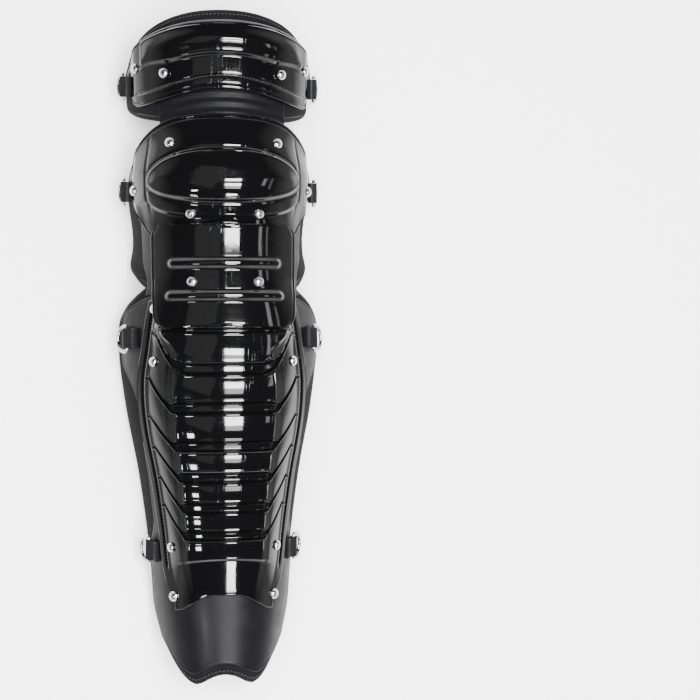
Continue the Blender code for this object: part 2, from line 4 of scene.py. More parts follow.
import bpy
import numpy as np
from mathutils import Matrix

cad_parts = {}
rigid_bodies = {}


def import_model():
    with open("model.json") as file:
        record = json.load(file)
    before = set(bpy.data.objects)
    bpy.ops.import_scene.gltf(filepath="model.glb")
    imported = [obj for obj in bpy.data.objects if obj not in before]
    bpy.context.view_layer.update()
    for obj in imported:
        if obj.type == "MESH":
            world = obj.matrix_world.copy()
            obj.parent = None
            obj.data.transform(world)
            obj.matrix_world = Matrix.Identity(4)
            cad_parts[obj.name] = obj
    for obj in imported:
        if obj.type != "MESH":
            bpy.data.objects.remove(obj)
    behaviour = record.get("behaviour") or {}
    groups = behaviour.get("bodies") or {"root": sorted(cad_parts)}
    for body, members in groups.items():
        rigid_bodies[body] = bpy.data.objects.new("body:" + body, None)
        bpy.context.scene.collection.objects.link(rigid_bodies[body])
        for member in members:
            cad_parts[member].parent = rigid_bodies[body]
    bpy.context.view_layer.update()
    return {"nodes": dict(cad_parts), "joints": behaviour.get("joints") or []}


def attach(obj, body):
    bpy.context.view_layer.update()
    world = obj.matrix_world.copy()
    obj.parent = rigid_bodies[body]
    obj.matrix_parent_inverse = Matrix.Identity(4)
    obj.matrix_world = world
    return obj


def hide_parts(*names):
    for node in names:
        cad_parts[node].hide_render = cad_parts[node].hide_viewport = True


for obj in list(bpy.data.objects):
    bpy.data.objects.remove(obj, do_unlink=True)
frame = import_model()
print("packed model:", len(frame["nodes"]), "nodes")

# %% [markdown]
# An umpire's leg guard lies on its back: a padded trough for the leg, with moulded plates over it.
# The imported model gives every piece's size and place. This script gives each piece its skin, as a
# finer surface of the same leg form, and paints it. Lengths are metres, +Y points to the thigh end
# and +Z out of the guard's front. A station is a distance along the guard from its foot end, and a
# turn is a place across it: 0 on the middle line, 1 at the channel's edge.

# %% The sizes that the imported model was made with
CHANNEL_HALF_WIDTH = 0.064
CHANNEL_DEPTH = 0.075
WING_FLARE = 0.017
LINER_LENGTH = 0.3835
TONGUE_LENGTH = 0.072
FOOT_RISE = 0.060
FOOT_NOTCH = 0.0095
LINER_WALL = 0.007
KNEE_LAP = 0.035
KNEE_PAD_LENGTH = 0.144
KNEE_ARCH = 0.060
THIGH_PAD_LENGTH = 0.098
THIGH_ARCH = 0.062
PAD_WALL = 0.008
SHELL_WALL = 0.002
SHELL_MARGIN = 0.010
SHELL_CLEARANCE = 0.003
LINK_WALL = 0.002
PLATE_WALL = 0.003
SHIN_PLATE_LENGTH = 0.263
SHIN_PLATE_LAP = 0.005
BAND_RISE = 0.008
BAND_GROOVE = 0.0035
KNEE_PLATE_LENGTH = 0.0965
KNEE_PLATE_REACH = 0.0075
DOME_RISE = 0.007
LENS_RISE = 0.005
THIGH_PLATE_LENGTH = 0.060
THIGH_RIM = 0.0095
THIGH_BULGE = 0.009
FLAP_DROP = 0.029
FLAP_LAP = 0.001
FLAP_RIB = 0.003
NECK_LENGTH = 0.052
NECK_SIDE = 0.43
THIGH_PLATE_SIDE = 0.82
KNEE_PLATE_SIDE = 0.80
LINK_LAP = 0.022
VENT_SIDE = 0.024
VENT_CORNER = 0.005
RIVET_RADIUS = 0.0045
RIVET_HEIGHT = 0.0026
WIRE_RADIUS = 0.0015
RING_HALF_WIDTH = 0.0115
RING_REACH = 0.0130
WEBBING_WIDTH = 0.018
WEBBING_WALL = 0.0014
TAB_LENGTH = 0.012
LAYER_GAP = 0.0009
SEAT_GAP = 0.0003

KNEE_PAD_START = LINER_LENGTH - KNEE_LAP
KNEE_PAD_END = KNEE_PAD_START + KNEE_PAD_LENGTH
THIGH_PAD_START = KNEE_PAD_END + SEAT_GAP
GUARD_LENGTH = THIGH_PAD_START + THIGH_PAD_LENGTH
SHELL_END = KNEE_PAD_START - SHELL_CLEARANCE
SHIN_PLATE_END = KNEE_PAD_START - SHIN_PLATE_LAP
SHIN_PLATE_START = SHIN_PLATE_END - SHIN_PLATE_LENGTH
KNEE_PLATE_END = KNEE_PAD_END + KNEE_PLATE_REACH
KNEE_PLATE_START = KNEE_PLATE_END - KNEE_PLATE_LENGTH
THIGH_PLATE_END = GUARD_LENGTH - THIGH_RIM
THIGH_PLATE_START = THIGH_PLATE_END - THIGH_PLATE_LENGTH
FLAP_START = SHIN_PLATE_END - FLAP_DROP
FLAP_END = KNEE_PLATE_START + FLAP_LAP
FLAP_LENGTH = FLAP_END - FLAP_START
NECK_START = (KNEE_PLATE_END + THIGH_PLATE_START - NECK_LENGTH) / 2
LINK_START = SHIN_PLATE_END + SEAT_GAP
LINK_END = KNEE_PLATE_START + LINK_LAP
SHELL_IN = LINER_WALL + LAYER_GAP
SHIN_PLATE_IN = SHELL_IN + SHELL_WALL + LAYER_GAP
PAD_IN = LINER_WALL + 2 * LAYER_GAP
LINK_IN = PAD_IN + PAD_WALL + LAYER_GAP
PLATE_IN = LINK_IN
PLATE_OVER_LINK_IN = LINK_IN + LINK_WALL + LAYER_GAP
FLAP_IN = max(PLATE_OVER_LINK_IN, SHIN_PLATE_IN + BAND_RISE) + PLATE_WALL + LAYER_GAP
print(f"guard {GUARD_LENGTH:.4f} m long, shin plate {SHIN_PLATE_LENGTH:.4f} m")

# Station as a share of the guard's length, then shares of half width, depth and wing flare
FORM_POWER = 2.2
FORM = np.array([
    (0.000, 0.648, 0.747, 0.15),
    (0.059, 0.727, 0.767, 0.15),
    (0.118, 0.805, 0.780, 0.15),
    (0.177, 0.844, 0.813, 0.15),
    (0.312, 1.000, 0.893, 0.15),
    (0.422, 1.164, 0.940, 0.25),
    (0.489, 1.205, 0.967, 0.40),
    (0.520, 1.185, 0.973, 0.55),
    (0.550, 1.130, 0.980, 0.85),
    (0.574, 1.063, 0.984, 1.00),
    (0.600, 0.961, 0.987, 0.65),
    (0.640, 0.938, 0.997, 0.15),
    (0.743, 1.000, 1.000, 0.05),
    (0.827, 1.000, 0.960, 0.05),
    (0.878, 1.010, 0.927, 0.05),
    (0.928, 1.030, 0.933, 0.05),
    (1.000, 1.030, 0.907, 0.05),
])

# The shin plate's side edge: share of the plate's length, then its turn
SHIN_EDGE = np.array([
    (0.00, 0.490),
    (0.08, 0.555),
    (0.22, 0.575),
    (0.38, 0.600),
    (0.55, 0.640),
    (0.70, 0.630),
    (0.82, 0.575),
    (1.00, 0.560),
])

# %% [markdown]
# The real guard is moulded round a leg, so all its layers share one shape. It could be sculpted or
# lofted piece by piece, but then the layers would cut into each other. Here one smooth surface lies
# under every layer. Each station has a superellipse for its cross-section, and a cubic through a
# few rows of shares gives its width and depth. A layer is that surface moved out along its normal.

# %% The leg form
def smooth_column(table, column, x):
    """Cubic through the table's rows: the column's value at each x of the first column."""
    xs, ys = table[:, 0], table[:, column]
    x = np.clip(x, xs[0], xs[-1])
    slope = np.gradient(ys, xs)
    i = np.clip(np.searchsorted(xs, x) - 1, 0, len(xs) - 2)
    span = xs[i + 1] - xs[i]
    r = (x - xs[i]) / span
    return (
        (2 * r**3 - 3 * r**2 + 1) * ys[i]
        + (r**3 - 2 * r**2 + r) * span * slope[i]
        + (3 * r**2 - 2 * r**3) * ys[i + 1]
        + (r**3 - r**2) * span * slope[i + 1]
    )


def smooth_step(x, low, high):
    """0 below low, 1 above high, and an S-curve between; low above high turns it round."""
    r = np.clip((x - low) / (high - low), 0.0, 1.0)
    return r * r * (3 - 2 * r)


def ramp(x, low, high, soft):
    """A straight ramp from 0 at low to 1 at high, its two corners rounded over soft."""
    shifts = np.linspace(-soft, soft, 7)
    return np.mean([np.clip((x + s - low) / (high - low), 0, 1) for s in shifts], axis=0)


def bell(x, middle, width):
    """A smooth hump of height 1: e to the minus square of the distance from middle, in widths."""
    return np.exp(-(((x - middle) / width) ** 2))


def level(value):
    """A rule that gives the same value at every turn or share."""
    return lambda x: value + 0 * x


def form_curve(station, turn):
    """The leg form's x and z: a superellipse across each station, flared near its edges."""
    share = station / GUARD_LENGTH
    half = CHANNEL_HALF_WIDTH * smooth_column(FORM, 1, share)
    depth = CHANNEL_DEPTH * smooth_column(FORM, 2, share)
    flare = WING_FLARE * smooth_column(FORM, 3, share)
    angle = turn * math.pi / 2
    sine, cosine = np.sin(angle), np.cos(angle)
    x = half * np.sign(sine) * np.abs(sine) ** (2 / FORM_POWER)
    x = x + np.sign(turn) * flare * smooth_step(np.abs(turn), 0.55, 1.1)
    z = depth * np.sign(cosine) * np.abs(cosine) ** (2 / FORM_POWER)
    return x, z


def form_normal(station, turn):
    """Unit normal in the plane of the station, pointing away from the leg."""
    step = 4e-3
    x0, z0 = form_curve(station, turn - step)
    x1, z1 = form_curve(station, turn + step)
    dx, dz = x1 - x0, z1 - z0
    length = np.hypot(dx, dz)
    return -dz / length, dx / length


def form_point(station, turn, stand_off):
    """World places of a layer's points, as an array with x, y, z last."""
    x, z = form_curve(station, turn)
    nx, nz = form_normal(station, turn)
    y = station - GUARD_LENGTH / 2 + 0 * turn
    return np.stack([x + stand_off * nx, y, z + stand_off * nz], axis=-1)


KNEE_PAD_MIDDLE = (KNEE_PAD_START + KNEE_PAD_END) / 2
print("top of the form at the knee:", form_point(np.array([KNEE_PAD_MIDDLE]), np.zeros(1), 0.0)[0].round(4))

# %% [markdown]
# Every piece is cut from the leg form along its own outline. It could be cut out with a Boolean,
# but a cut leaves uneven faces at its edge. Here rules give the outline: the stations of its
# foot-side and thigh-side edges at each turn, and the turn of its side edges at each share of its
# length. A grid fitted between them bends with the outline.

# %% Outlines
def liner_bottom(turn):
    """Foot edge: a notch between two lobes, then a climb to the sides by a power of 1.6."""
    lobe = 0.33
    size = np.abs(turn)
    notch = FOOT_NOTCH * np.clip(1 - (size / lobe) ** 2, 0, 1) ** 2
    return notch + FOOT_RISE * (np.clip(size - lobe, 0, 1) / (1 - lobe)) ** 1.6


def liner_top(turn):
    """A tongue: the edge falls from the middle by the turn to the power 2.6."""
    return LINER_LENGTH - TONGUE_LENGTH * np.abs(turn) ** 2.6


def shell_bottom(turn):
    """The liner's foot edge, a margin further in."""
    return liner_bottom(turn) + SHELL_MARGIN


def shell_top(turn):
    """Straight, but for a fall near the sides by the turn to the power 6."""
    return SHELL_END - 0.7 * TONGUE_LENGTH * np.abs(turn) ** 6


def knee_pad_bottom(turn):
    """Straight at the middle, then an S-curve towards the thigh at the sides."""
    return KNEE_PAD_START + 0.35 * KNEE_ARCH * smooth_step(np.abs(turn), 0.55, 1.0)


def knee_pad_top(turn):
    """An arch that falls by the cube of the turn."""
    return KNEE_PAD_END - KNEE_ARCH * np.abs(turn) ** 3


def thigh_pad_bottom(turn):
    """A shallow arch that climbs by the turn to the power 2.5."""
    return THIGH_PAD_START + 0.36 * THIGH_ARCH * np.abs(turn) ** 2.5


def thigh_pad_top(turn):
    """An arch: most of its fall is the square of the turn, the rest its sixth power."""
    return GUARD_LENGTH - THIGH_ARCH * (0.72 * turn**2 + 0.28 * np.abs(turn) ** 6)


def shin_plate_bottom(turn):
    """Two lobes that reach towards the foot by an S-curve, drawn back at their corners."""
    size = np.abs(turn) / SHIN_EDGE[0, 1]
    lobe = 0.014 * smooth_step(size, 0.15, 0.85)
    return SHIN_PLATE_START - lobe + 0.006 * smooth_step(size, 0.88, 1.1)


def shin_plate_top(turn):
    """Straight at the middle and 4 mm lower at the sides."""
    return SHIN_PLATE_END - 0.004 * smooth_step(np.abs(turn), 0.3, 0.6)


def knee_plate_bottom(turn):
    """It falls to a corner near half a turn by one S-curve, and climbs past it by another."""
    size = np.abs(turn)
    fall = 0.17 * KNEE_PLATE_LENGTH * smooth_step(size, 0.0, 0.47)
    return KNEE_PLATE_START - fall + 0.52 * KNEE_PLATE_LENGTH * smooth_step(size, 0.42, 0.84)


def knee_plate_top(turn):
    """A round arch that falls by the cube of the turn."""
    return KNEE_PLATE_END - 1.15 * KNEE_PLATE_LENGTH * np.abs(turn) ** 3


def thigh_plate_bottom(turn):
    """Like the knee plate's: a fall to a corner, then a shorter climb."""
    size = np.abs(turn)
    fall = 0.20 * THIGH_PLATE_LENGTH * smooth_step(size, 0.0, 0.60)
    return THIGH_PLATE_START - fall + 0.34 * THIGH_PLATE_LENGTH * smooth_step(size, 0.60, 0.82)


def thigh_plate_top(turn):
    """The thigh pad's top edge, a rim further in."""
    return thigh_pad_top(turn) - THIGH_RIM


def link_top(turn):
    """Straight at the middle, and drawn in at the sides by an S-curve."""
    return LINK_END - 0.6 * LINK_LAP * smooth_step(np.abs(turn), 0.3, 0.6)


def shell_side(share):
    """Turn of the shell's side edge: a foot guard, a thin strip, then wings."""
    strip = smooth_step(share, 0.22, 0.38) * smooth_step(share, 0.86, 0.70)
    return (0.84 - 0.16 * strip) * (1 - 0.09 * smooth_step(share, 0.09, 0.0) ** 2)


def link_side(share):
    """It widens by an S-curve over its lower half."""
    return 0.56 + 0.09 * smooth_step(share, 0.0, 0.5)


print("foot edge, middle to side:", liner_bottom(np.linspace(0, 1, 5)).round(4))

# %% [markdown]
# A real plate is a sheet with a thickness and a rounded edge. Solidify and Bevel could give a face
# both, but they pinch at sharp corners. Here every wall is two grids, an outer and an inner one,
# joined round the rim. The grid lines crowd towards the rim, where the outer face rolls over by the
# edge's radius, because a moulded plate shows its rounded edge as a thin bright line.

# %% Grids
def lines(count, edge=0.0):
    """Rising shares from 0 to 1, evenly spaced, with extra lines within the share edge of both ends."""
    even = np.linspace(0, 1, count)
    if not edge:
        return even
    near = edge * np.array([0.0, 0.06, 0.18, 0.36, 0.6, 1.0])
    middle = even[(even > 1.3 * edge) & (even < 1 - 1.3 * edge)]
    return np.concatenate([near, middle, 1 - near[::-1]])


def grid(low, high, side, across, along):
    """Stations and turns of a grid, row by row from the foot side, left to right."""
    share = along[:, None]
    turn = (2 * across[None, :] - 1) * side(share)
    return low(turn) + (high(turn) - low(turn)) * share, turn


def girth(points):
    """Signed distance along each row from its middle column."""
    steps = np.linalg.norm(np.diff(points, axis=1), axis=2)
    run = np.concatenate([np.zeros((len(points), 1)), np.cumsum(steps, axis=1)], axis=1)
    middle = points.shape[1] // 2
    return run - run[:, middle:middle + 1]


def rim_distance(points):
    """Distance of every grid point to the nearest edge, the corners blended."""
    rows = np.linalg.norm(np.diff(points, axis=0), axis=2)
    up = np.concatenate([np.zeros((1, points.shape[1])), np.cumsum(rows, axis=0)])
    run = girth(points)
    four = np.stack([up, up[-1] - up, run - run[:, :1], run[:, -1:] - run])
    power = 5.0
    return (np.sum((four + 1e-5) ** -power, axis=0)) ** (-1 / power)


def roll(distance, radius):
    """How far a face drops at its rim: a quarter circle over the last radius."""
    r = np.clip(radius - distance, 0, radius)
    return radius - np.sqrt(radius**2 - r**2)


def rim_lip(rim, width=0.0024, height=0.0004, trench=0.0010):
    """A moulded rim: a low lip along the edge, then a rounded groove inside it."""
    return height * smooth_step(rim, width + 0.0010, width) - trench * bell(rim, width + 0.0014, 0.0008)


print("lines crowd towards a rim:", lines(5, 0.02)[:7].round(4))

# %% [markdown]
# A mesh can be filled vertex by vertex, but foreach_set takes whole arrays and is far quicker.
# Faces that meet at more than the crease angle stay sharp, and the rest are shaded smooth. Each
# finished piece is told its body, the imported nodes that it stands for, and its finish.

# %% Meshes and walls
def make_mesh(name, points, faces, uv=None, materials=(), which=None, crease=40):
    """A mesh from arrays of points and four-sided faces; which gives each face's material."""
    mesh = bpy.data.meshes.new(name)
    faces = np.asarray(faces, dtype=np.int32)
    mesh.vertices.add(len(points))
    mesh.vertices.foreach_set("co", np.ascontiguousarray(points, dtype=np.float32).ravel())
    mesh.loops.add(faces.size)
    mesh.loops.foreach_set("vertex_index", faces.ravel())
    mesh.polygons.add(len(faces))
    mesh.polygons.foreach_set("loop_start", np.arange(len(faces), dtype=np.int32) * faces.shape[1])
    if uv is not None:
        layer = mesh.uv_layers.new(name="surface")
        layer.data.foreach_set("uv", uv[faces.ravel()].astype(np.float32).ravel())
    for finish in materials:
        mesh.materials.append(finish)
    if which is not None:
        mesh.polygons.foreach_set("material_index", np.asarray(which, dtype=np.int32))
    mesh.update(calc_edges=True)
    mesh.validate()
    mesh.shade_smooth()
    mesh.set_sharp_from_angle(angle=math.radians(crease))
    piece = bpy.data.objects.new(name, mesh)
    bpy.context.scene.collection.objects.link(piece)
    return piece


def put(piece, body, nodes):
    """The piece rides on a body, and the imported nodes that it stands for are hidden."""
    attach(piece, body)
    if nodes:
        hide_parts(*nodes)
    print(piece.name, len(piece.data.polygons), "faces")
    return piece


def wall(name, outer, inner, uv, materials, hole=None):
    """Joins an outer and an inner grid into one closed wall.

    Each kept cell of the grid gives a face on either side, and each edge that only one kept cell
    uses gives a rim face. hole is a field over the grid, negative inside a hole: cells whose
    middle is negative are left out, and the points round them slide onto its zero line. The hole's
    rim faces take the last material.
    """
    rows, cols = outer.shape[:2]
    index = np.arange(rows * cols).reshape(rows, cols)
    cells = np.stack([index[:-1, :-1], index[:-1, 1:], index[1:, 1:], index[1:, :-1]], axis=-1)
    kept = np.ones(cells.shape[:2], bool)
    inside_rim = np.zeros(rows * cols, bool)
    if hole is not None:
        middle = (hole[:-1, :-1] + hole[:-1, 1:] + hole[1:, 1:] + hole[1:, :-1]) / 4
        kept = middle > 0
        used = np.zeros((2, rows * cols), bool)
        used[0, cells[kept].ravel()] = True
        used[1, cells[~kept].ravel()] = True
        inside_rim = used[0] & used[1]
        gx = np.gradient(hole, axis=1)
        gy = np.gradient(hole, axis=0)
        share = -hole / np.maximum(gx**2 + gy**2, 1e-12)
        move_x = np.clip(share * gx, -1, 1).ravel()
        move_y = np.clip(share * gy, -1, 1).ravel()
        outer, inner, uv = outer.copy(), inner.copy(), uv.copy()
        r, c = np.divmod(np.nonzero(inside_rim)[0], cols)
        for array in (outer, inner, uv):
            along_x = np.gradient(array, axis=1)[r, c]
            along_y = np.gradient(array, axis=0)[r, c]
            at = r * cols + c
            array[r, c] += move_x[at, None] * along_x + move_y[at, None] * along_y
    front = cells[kept]
    a, b = front.ravel(), np.roll(front, -1, axis=1).ravel()
    count = rows * cols
    lone = ~np.isin(a * count + b, b * count + a)
    a, b = a[lone], b[lone]
    rim = np.stack([b, a, a + count, b + count], axis=1)
    back = front[:, ::-1] + count
    faces = np.concatenate([front, back, rim])
    which = np.zeros(len(faces), int)
    which[len(front):2 * len(front)] = min(1, len(materials) - 1)
    if hole is not None:
        which[2 * len(front):] = np.where(inside_rim[a] & inside_rim[b], len(materials) - 1, 0)
    points = np.concatenate([outer.reshape(-1, 3), inner.reshape(-1, 3)])
    both = np.concatenate([uv.reshape(-1, 2), uv.reshape(-1, 2)])
    used = np.unique(faces)
    renumber = np.zeros(len(points), int)
    renumber[used] = np.arange(len(used))
    return make_mesh(name, points[used], renumber[faces], both[used], materials, which)


def surface_uv(points, station):
    """Girth and station in metres, so that a weave keeps its scale all over."""
    return np.stack([girth(points), station], axis=-1)


def face_out(piece):
    """Turns a closed mesh right side out: its signed volume is below zero while it is inside out."""
    mesh = piece.data
    mesh.calc_loop_triangles()
    points = np.empty(len(mesh.vertices) * 3, np.float32)
    mesh.vertices.foreach_get("co", points)
    corners = np.empty(len(mesh.loop_triangles) * 3, np.int32)
    mesh.loop_triangles.foreach_get("vertices", corners)
    a, b, c = points.reshape(-1, 3)[corners.reshape(-1, 3)].transpose(1, 0, 2)
    if np.einsum("ij,ij->i", a, np.cross(b, c)).sum() < 0:
        mesh.flip_normals()
    return piece


# %% [markdown]
# Stitches, bindings, rings and webbing are long and thin, and follow an edge. A curve object with a
# bevel could make them, but its profile rolls on a bent edge. Here a profile is carried along the
# path with a frame at each point: along the path, out of the surface, and sideways.

# %% Paths
def unit(vectors):
    """Each vector over its own length."""
    return vectors / np.maximum(np.linalg.norm(vectors, axis=-1, keepdims=True), 1e-12)


def form_frame(station, turn):
    """Outward normals of the leg form, with their lean along the guard."""
    step = 1e-3
    along = form_point(station + step, turn, 0) - form_point(station - step, turn, 0)
    across = form_point(station, turn + step, 0) - form_point(station, turn - step, 0)
    return unit(np.cross(across, along))


def run_along(path):
    """Distance along a path from its first point to each of its points."""
    return np.concatenate([[0], np.cumsum(np.linalg.norm(np.diff(path, axis=0), axis=1))])


def close_loop(path):
    """The loop with its first point again at its end."""
    return np.concatenate([path, path[:1]])


def loop_tangent(path):
    """Unit directions along a loop: from the point before each point to the one after."""
    return unit(np.roll(path, -1, axis=0) - np.roll(path, 1, axis=0))


def square_to(vectors, tangent):
    """The vectors less their share along the tangent, at unit length."""
    return unit(vectors - np.sum(vectors * tangent, axis=1, keepdims=True) * tangent)


def border(array):
    """The grid's outermost points as one loop."""
    return np.concatenate([array[0, :-1], array[:-1, -1], array[-1, :0:-1], array[:0:-1, 0]])


def soften(path, times):
    """Averages each point of a loop with its two neighbours, again and again."""
    for _ in range(times):
        path = 0.5 * path + 0.25 * (np.roll(path, 1, axis=0) + np.roll(path, -1, axis=0))
    return path


def resample(points, spacing, *others):
    """Points at even distances along a path, and the same for arrays that go with it."""
    run = run_along(points)
    at = np.linspace(0, run[-1], max(2, int(round(run[-1] / spacing)) + 1))
    return [
        np.stack([np.interp(at, run, column) for column in array.T], axis=1)
        for array in (points, *others)
    ]


def circle(count, power=1.0):
    """Places round a unit circle; a power below 1 makes it squarer."""
    angle = np.arange(count) * 2 * math.pi / count
    both = np.stack([np.cos(angle), np.sin(angle)], axis=1)
    return np.sign(both) * np.abs(both) ** power


def tube_faces(count, sides, closed):
    """Four-sided faces between neighbouring rings of a swept profile."""
    i = np.arange(count if closed else count - 1)[:, None]
    j = np.arange(sides)[None, :]
    k, n = (i + 1) % count, (j + 1) % sides
    return np.stack([i * sides + j, i * sides + n, k * sides + n, k * sides + j], axis=-1).reshape(-1, 4)


def stitches(name, rows, finish, pitch=0.0034, length=0.0024, radius=0.00033):
    """Short stitches along rows of (points, normals): each an eight-sided bead with pointed ends."""
    stations = np.array([-1.0, -0.8, -0.3, 0.3, 0.8, 1.0])
    swell = np.array([0.05, 0.6, 1.0, 1.0, 0.6, 0.05])
    ring = circle(8)
    x = np.repeat(stations * length / 2, 8)
    y = (swell[:, None] * radius * ring[:, 0]).ravel()
    z = (swell[:, None] * radius * (0.25 + ring[:, 1])).ravel()
    ends = np.array([[0, 3, 2, 1], [0, 5, 4, 3], [0, 7, 6, 5]])
    bead = np.concatenate([tube_faces(6, 8, False)[:, ::-1], ends, 40 + ends[:, ::-1]])
    points, faces, start = [], [], 0
    for path, normal in rows:
        path, normal = resample(path, pitch, normal)
        tangent = unit(np.gradient(path, axis=0))
        normal = square_to(normal, tangent)
        side = np.cross(normal, tangent)
        made = (
            path[:, None, :]
            + x[None, :, None] * tangent[:, None, :]
            + y[None, :, None] * side[:, None, :]
            + z[None, :, None] * normal[:, None, :]
        )
        points.append(made.reshape(-1, 3))
        offset = start + np.arange(len(path))[:, None, None] * len(x)
        faces.append((bead[None] + offset).reshape(-1, 4))
        start += len(path) * len(x)
    return make_mesh(name, np.concatenate(points), np.concatenate(faces), None, [finish], crease=80)


def row_on_form(station, turn, stand_off):
    """A path on a layer, and its normals."""
    return form_point(station, turn, stand_off), form_frame(station, turn)


def swept(name, path, outward, profile, finishes, crease=50):
    """Carries a closed profile of (sideways, outward) places round a closed path."""
    tangent = loop_tangent(path)
    outward = square_to(outward, tangent)
    side = np.cross(outward, tangent)
    points = (
        path[:, None, :]
        + profile[None, :, :1] * side[:, None, :]
        + profile[None, :, 1:] * outward[:, None, :]
    )
    faces = tube_faces(len(path), len(profile), True)
    uv = np.stack(np.meshgrid(run_along(profile), run_along(path)), axis=-1).reshape(-1, 2)
    return make_mesh(name, points.reshape(-1, 3), faces, uv, finishes, crease=crease)


# %% [markdown]
# Finishes are node materials. Wiring nodes by hand in the shader editor is quick for one material,
# but small functions say the same thing in a line each, and they can be used again. Every pattern
# reads object coordinates or the surface map, so it stays on the piece from every side.

# %% Shader nodes
def new_material(name, colour, roughness, **sockets):
    """A material with its Principled shader; sockets are set by their names."""
    made = bpy.data.materials.new(name)
    made.use_nodes = True
    shader = made.node_tree.nodes["Principled BSDF"]
    shader.inputs["Base Color"].default_value = (*colour, 1)
    shader.inputs["Roughness"].default_value = roughness
    for socket, value in sockets.items():
        shader.inputs[socket.replace("_", " ")].default_value = value
    return made, made.node_tree, shader


def add(tree, kind, settings=None, **inputs):
    """A node with its settings; an input is a value, or another node's output to link."""
    node = tree.nodes.new(kind)
    for key, value in (settings or {}).items():
        setattr(node, key, value)
    for key, value in inputs.items():
        key = int(key[1:]) if key[0] == "_" else key.replace("_", " ")
        socket = node.inputs[key]
        if isinstance(value, bpy.types.NodeSocket):
            tree.links.new(value, socket)
        else:
            socket.default_value = value
    return node


def math_node(tree, operation, a, b=0.0):
    """One step of arithmetic on outputs or numbers."""
    return add(tree, "ShaderNodeMath", {"operation": operation}, _0=a, _1=b).outputs[0]


def times(tree, a, b):
    """The product of two outputs or numbers."""
    return math_node(tree, "MULTIPLY", a, b)


def drive(tree, shader, **inputs):
    """Links outputs to a shader's sockets, whose names have an underscore for each space."""
    for socket, value in inputs.items():
        tree.links.new(value, shader.inputs[socket.replace("_", " ")])


def object_noise(tree, scale, detail=3.0, stretch=None, turned=(0, 0, 0)):
    """Noise on object coordinates, squeezed by stretch and turned."""
    place = add(tree, "ShaderNodeTexCoord").outputs["Object"]
    if stretch:
        place = add(
            tree, "ShaderNodeMapping", None, Vector=place, Scale=stretch, Rotation=turned
        ).outputs[0]
    noise = add(tree, "ShaderNodeTexNoise", None, Vector=place, Scale=scale, Detail=detail)
    return noise.outputs["Fac"]


def remap(tree, value, low, high, out_low=0.0, out_high=1.0):
    """A straight ramp from out_low at low to out_high at high, level beyond them."""
    ends = {"From_Min": low, "From_Max": high, "To_Min": out_low, "To_Max": out_high}
    return add(tree, "ShaderNodeMapRange", None, Value=value, **ends).outputs[0]


def bump(tree, height, strength, distance, normal=None):
    """A normal tilted by the slope of height, over another normal if there is one."""
    under = {} if normal is None else {"Normal": normal}
    made = add(
        tree, "ShaderNodeBump", None, Height=height, Strength=strength, Distance=distance, **under
    )
    return made.outputs[0]


def mix_colours(tree, share, first, second):
    """The first colour where share is 0, the second where it is 1."""
    made = add(
        tree, "ShaderNodeMix", {"data_type": "RGBA"}, _0=share, _6=(*first, 1), _7=(*second, 1)
    )
    return made.outputs[2]


# %% [markdown]
# The plates are black plastic with a mirror gloss under hair-fine scratches. A picture of scratches
# would stretch over the moulding, so noise makes them: squeezed along one axis it gives long thin
# marks, and only its peaks are kept. The inner layers are the same plastic with a satin grain.

# %% Plastics
def gloss_plastic():
    """Mirror gloss: its roughness is a soft haze plus patches of fine scratches in three turns."""
    made, tree, shader = new_material("gloss_plastic", (0.0018, 0.0018, 0.002), 0.07)
    marks = [
        remap(tree, object_noise(tree, 60, 2, (14, 0.5, 3), (0, 0, turned)), 0.66, 0.74)
        for turned in (0.35, -0.9, 1.4)
    ]
    scratches = math_node(tree, "MAXIMUM", math_node(tree, "MAXIMUM", marks[0], marks[1]), marks[2])
    scratches = times(tree, scratches, remap(tree, object_noise(tree, 28, 2), 0.45, 0.62))
    haze = remap(tree, object_noise(tree, 45, 3), 0.35, 0.75, 0.045, 0.075)
    rough = math_node(tree, "ADD", haze, times(tree, scratches, 0.16))
    peel = bump(tree, object_noise(tree, 120, 1), 0.05, 0.0004)
    drive(tree, shader, Roughness=rough, Normal=bump(tree, scratches, 0.22, 0.00012, peel))
    return made


def satin_plastic(name, shine):
    """Plastic with a fine grain and a broad soft sheen, as strong as shine."""
    made, tree, shader = new_material(
        name, (0.0035, 0.0035, 0.004), 0.36, Specular_IOR_Level=shine
    )
    rough = remap(tree, object_noise(tree, 90, 4), 0.3, 0.7, 0.30, 0.44)
    wave = bump(tree, object_noise(tree, 70, 1), 0.12, 0.0005)
    grain = bump(tree, object_noise(tree, 2600, 2), 0.35, 0.00012, wave)
    drive(tree, shader, Roughness=rough, Normal=grain)
    return made


gloss = gloss_plastic()
satin = satin_plastic("satin_plastic", 0.22)
neck_satin = satin_plastic("neck_plastic", 0.09)
print("plastics:", gloss.name, satin.name, neck_satin.name)

# %% [markdown]
# The pads wear a charcoal knit, and their edges and the tabs are woven tape. Real loops would need
# millions of faces, so crossed waves stand for them in colour and in bump. They read the surface
# map, in metres, so the weave keeps its size in every bend.

# %% Cloth and thread
# A wave texture's waves are 0.314 apart, over its scale
WAVE_SCALE = 0.314
CLOTH_BLACK = (0.0025, 0.0025, 0.003)
YARN_GREY = (0.011, 0.0108, 0.012)


def crossed_waves(tree, place, pitch, bands, distortion, detail):
    """Waves in two directions; each band row has a direction and its share of the wave count."""
    return [
        add(
            tree, "ShaderNodeTexWave", {"wave_type": "BANDS", "bands_direction": direction},
            Vector=place, Scale=share * WAVE_SCALE / pitch, Distortion=distortion,
            Detail=detail, Detail_Scale=detail,
        ).outputs["Fac"]
        for direction, share in bands
    ]


def surface_place(tree):
    """The surface map as an output."""
    return add(tree, "ShaderNodeUVMap", {"uv_map": "surface"}).outputs[0]


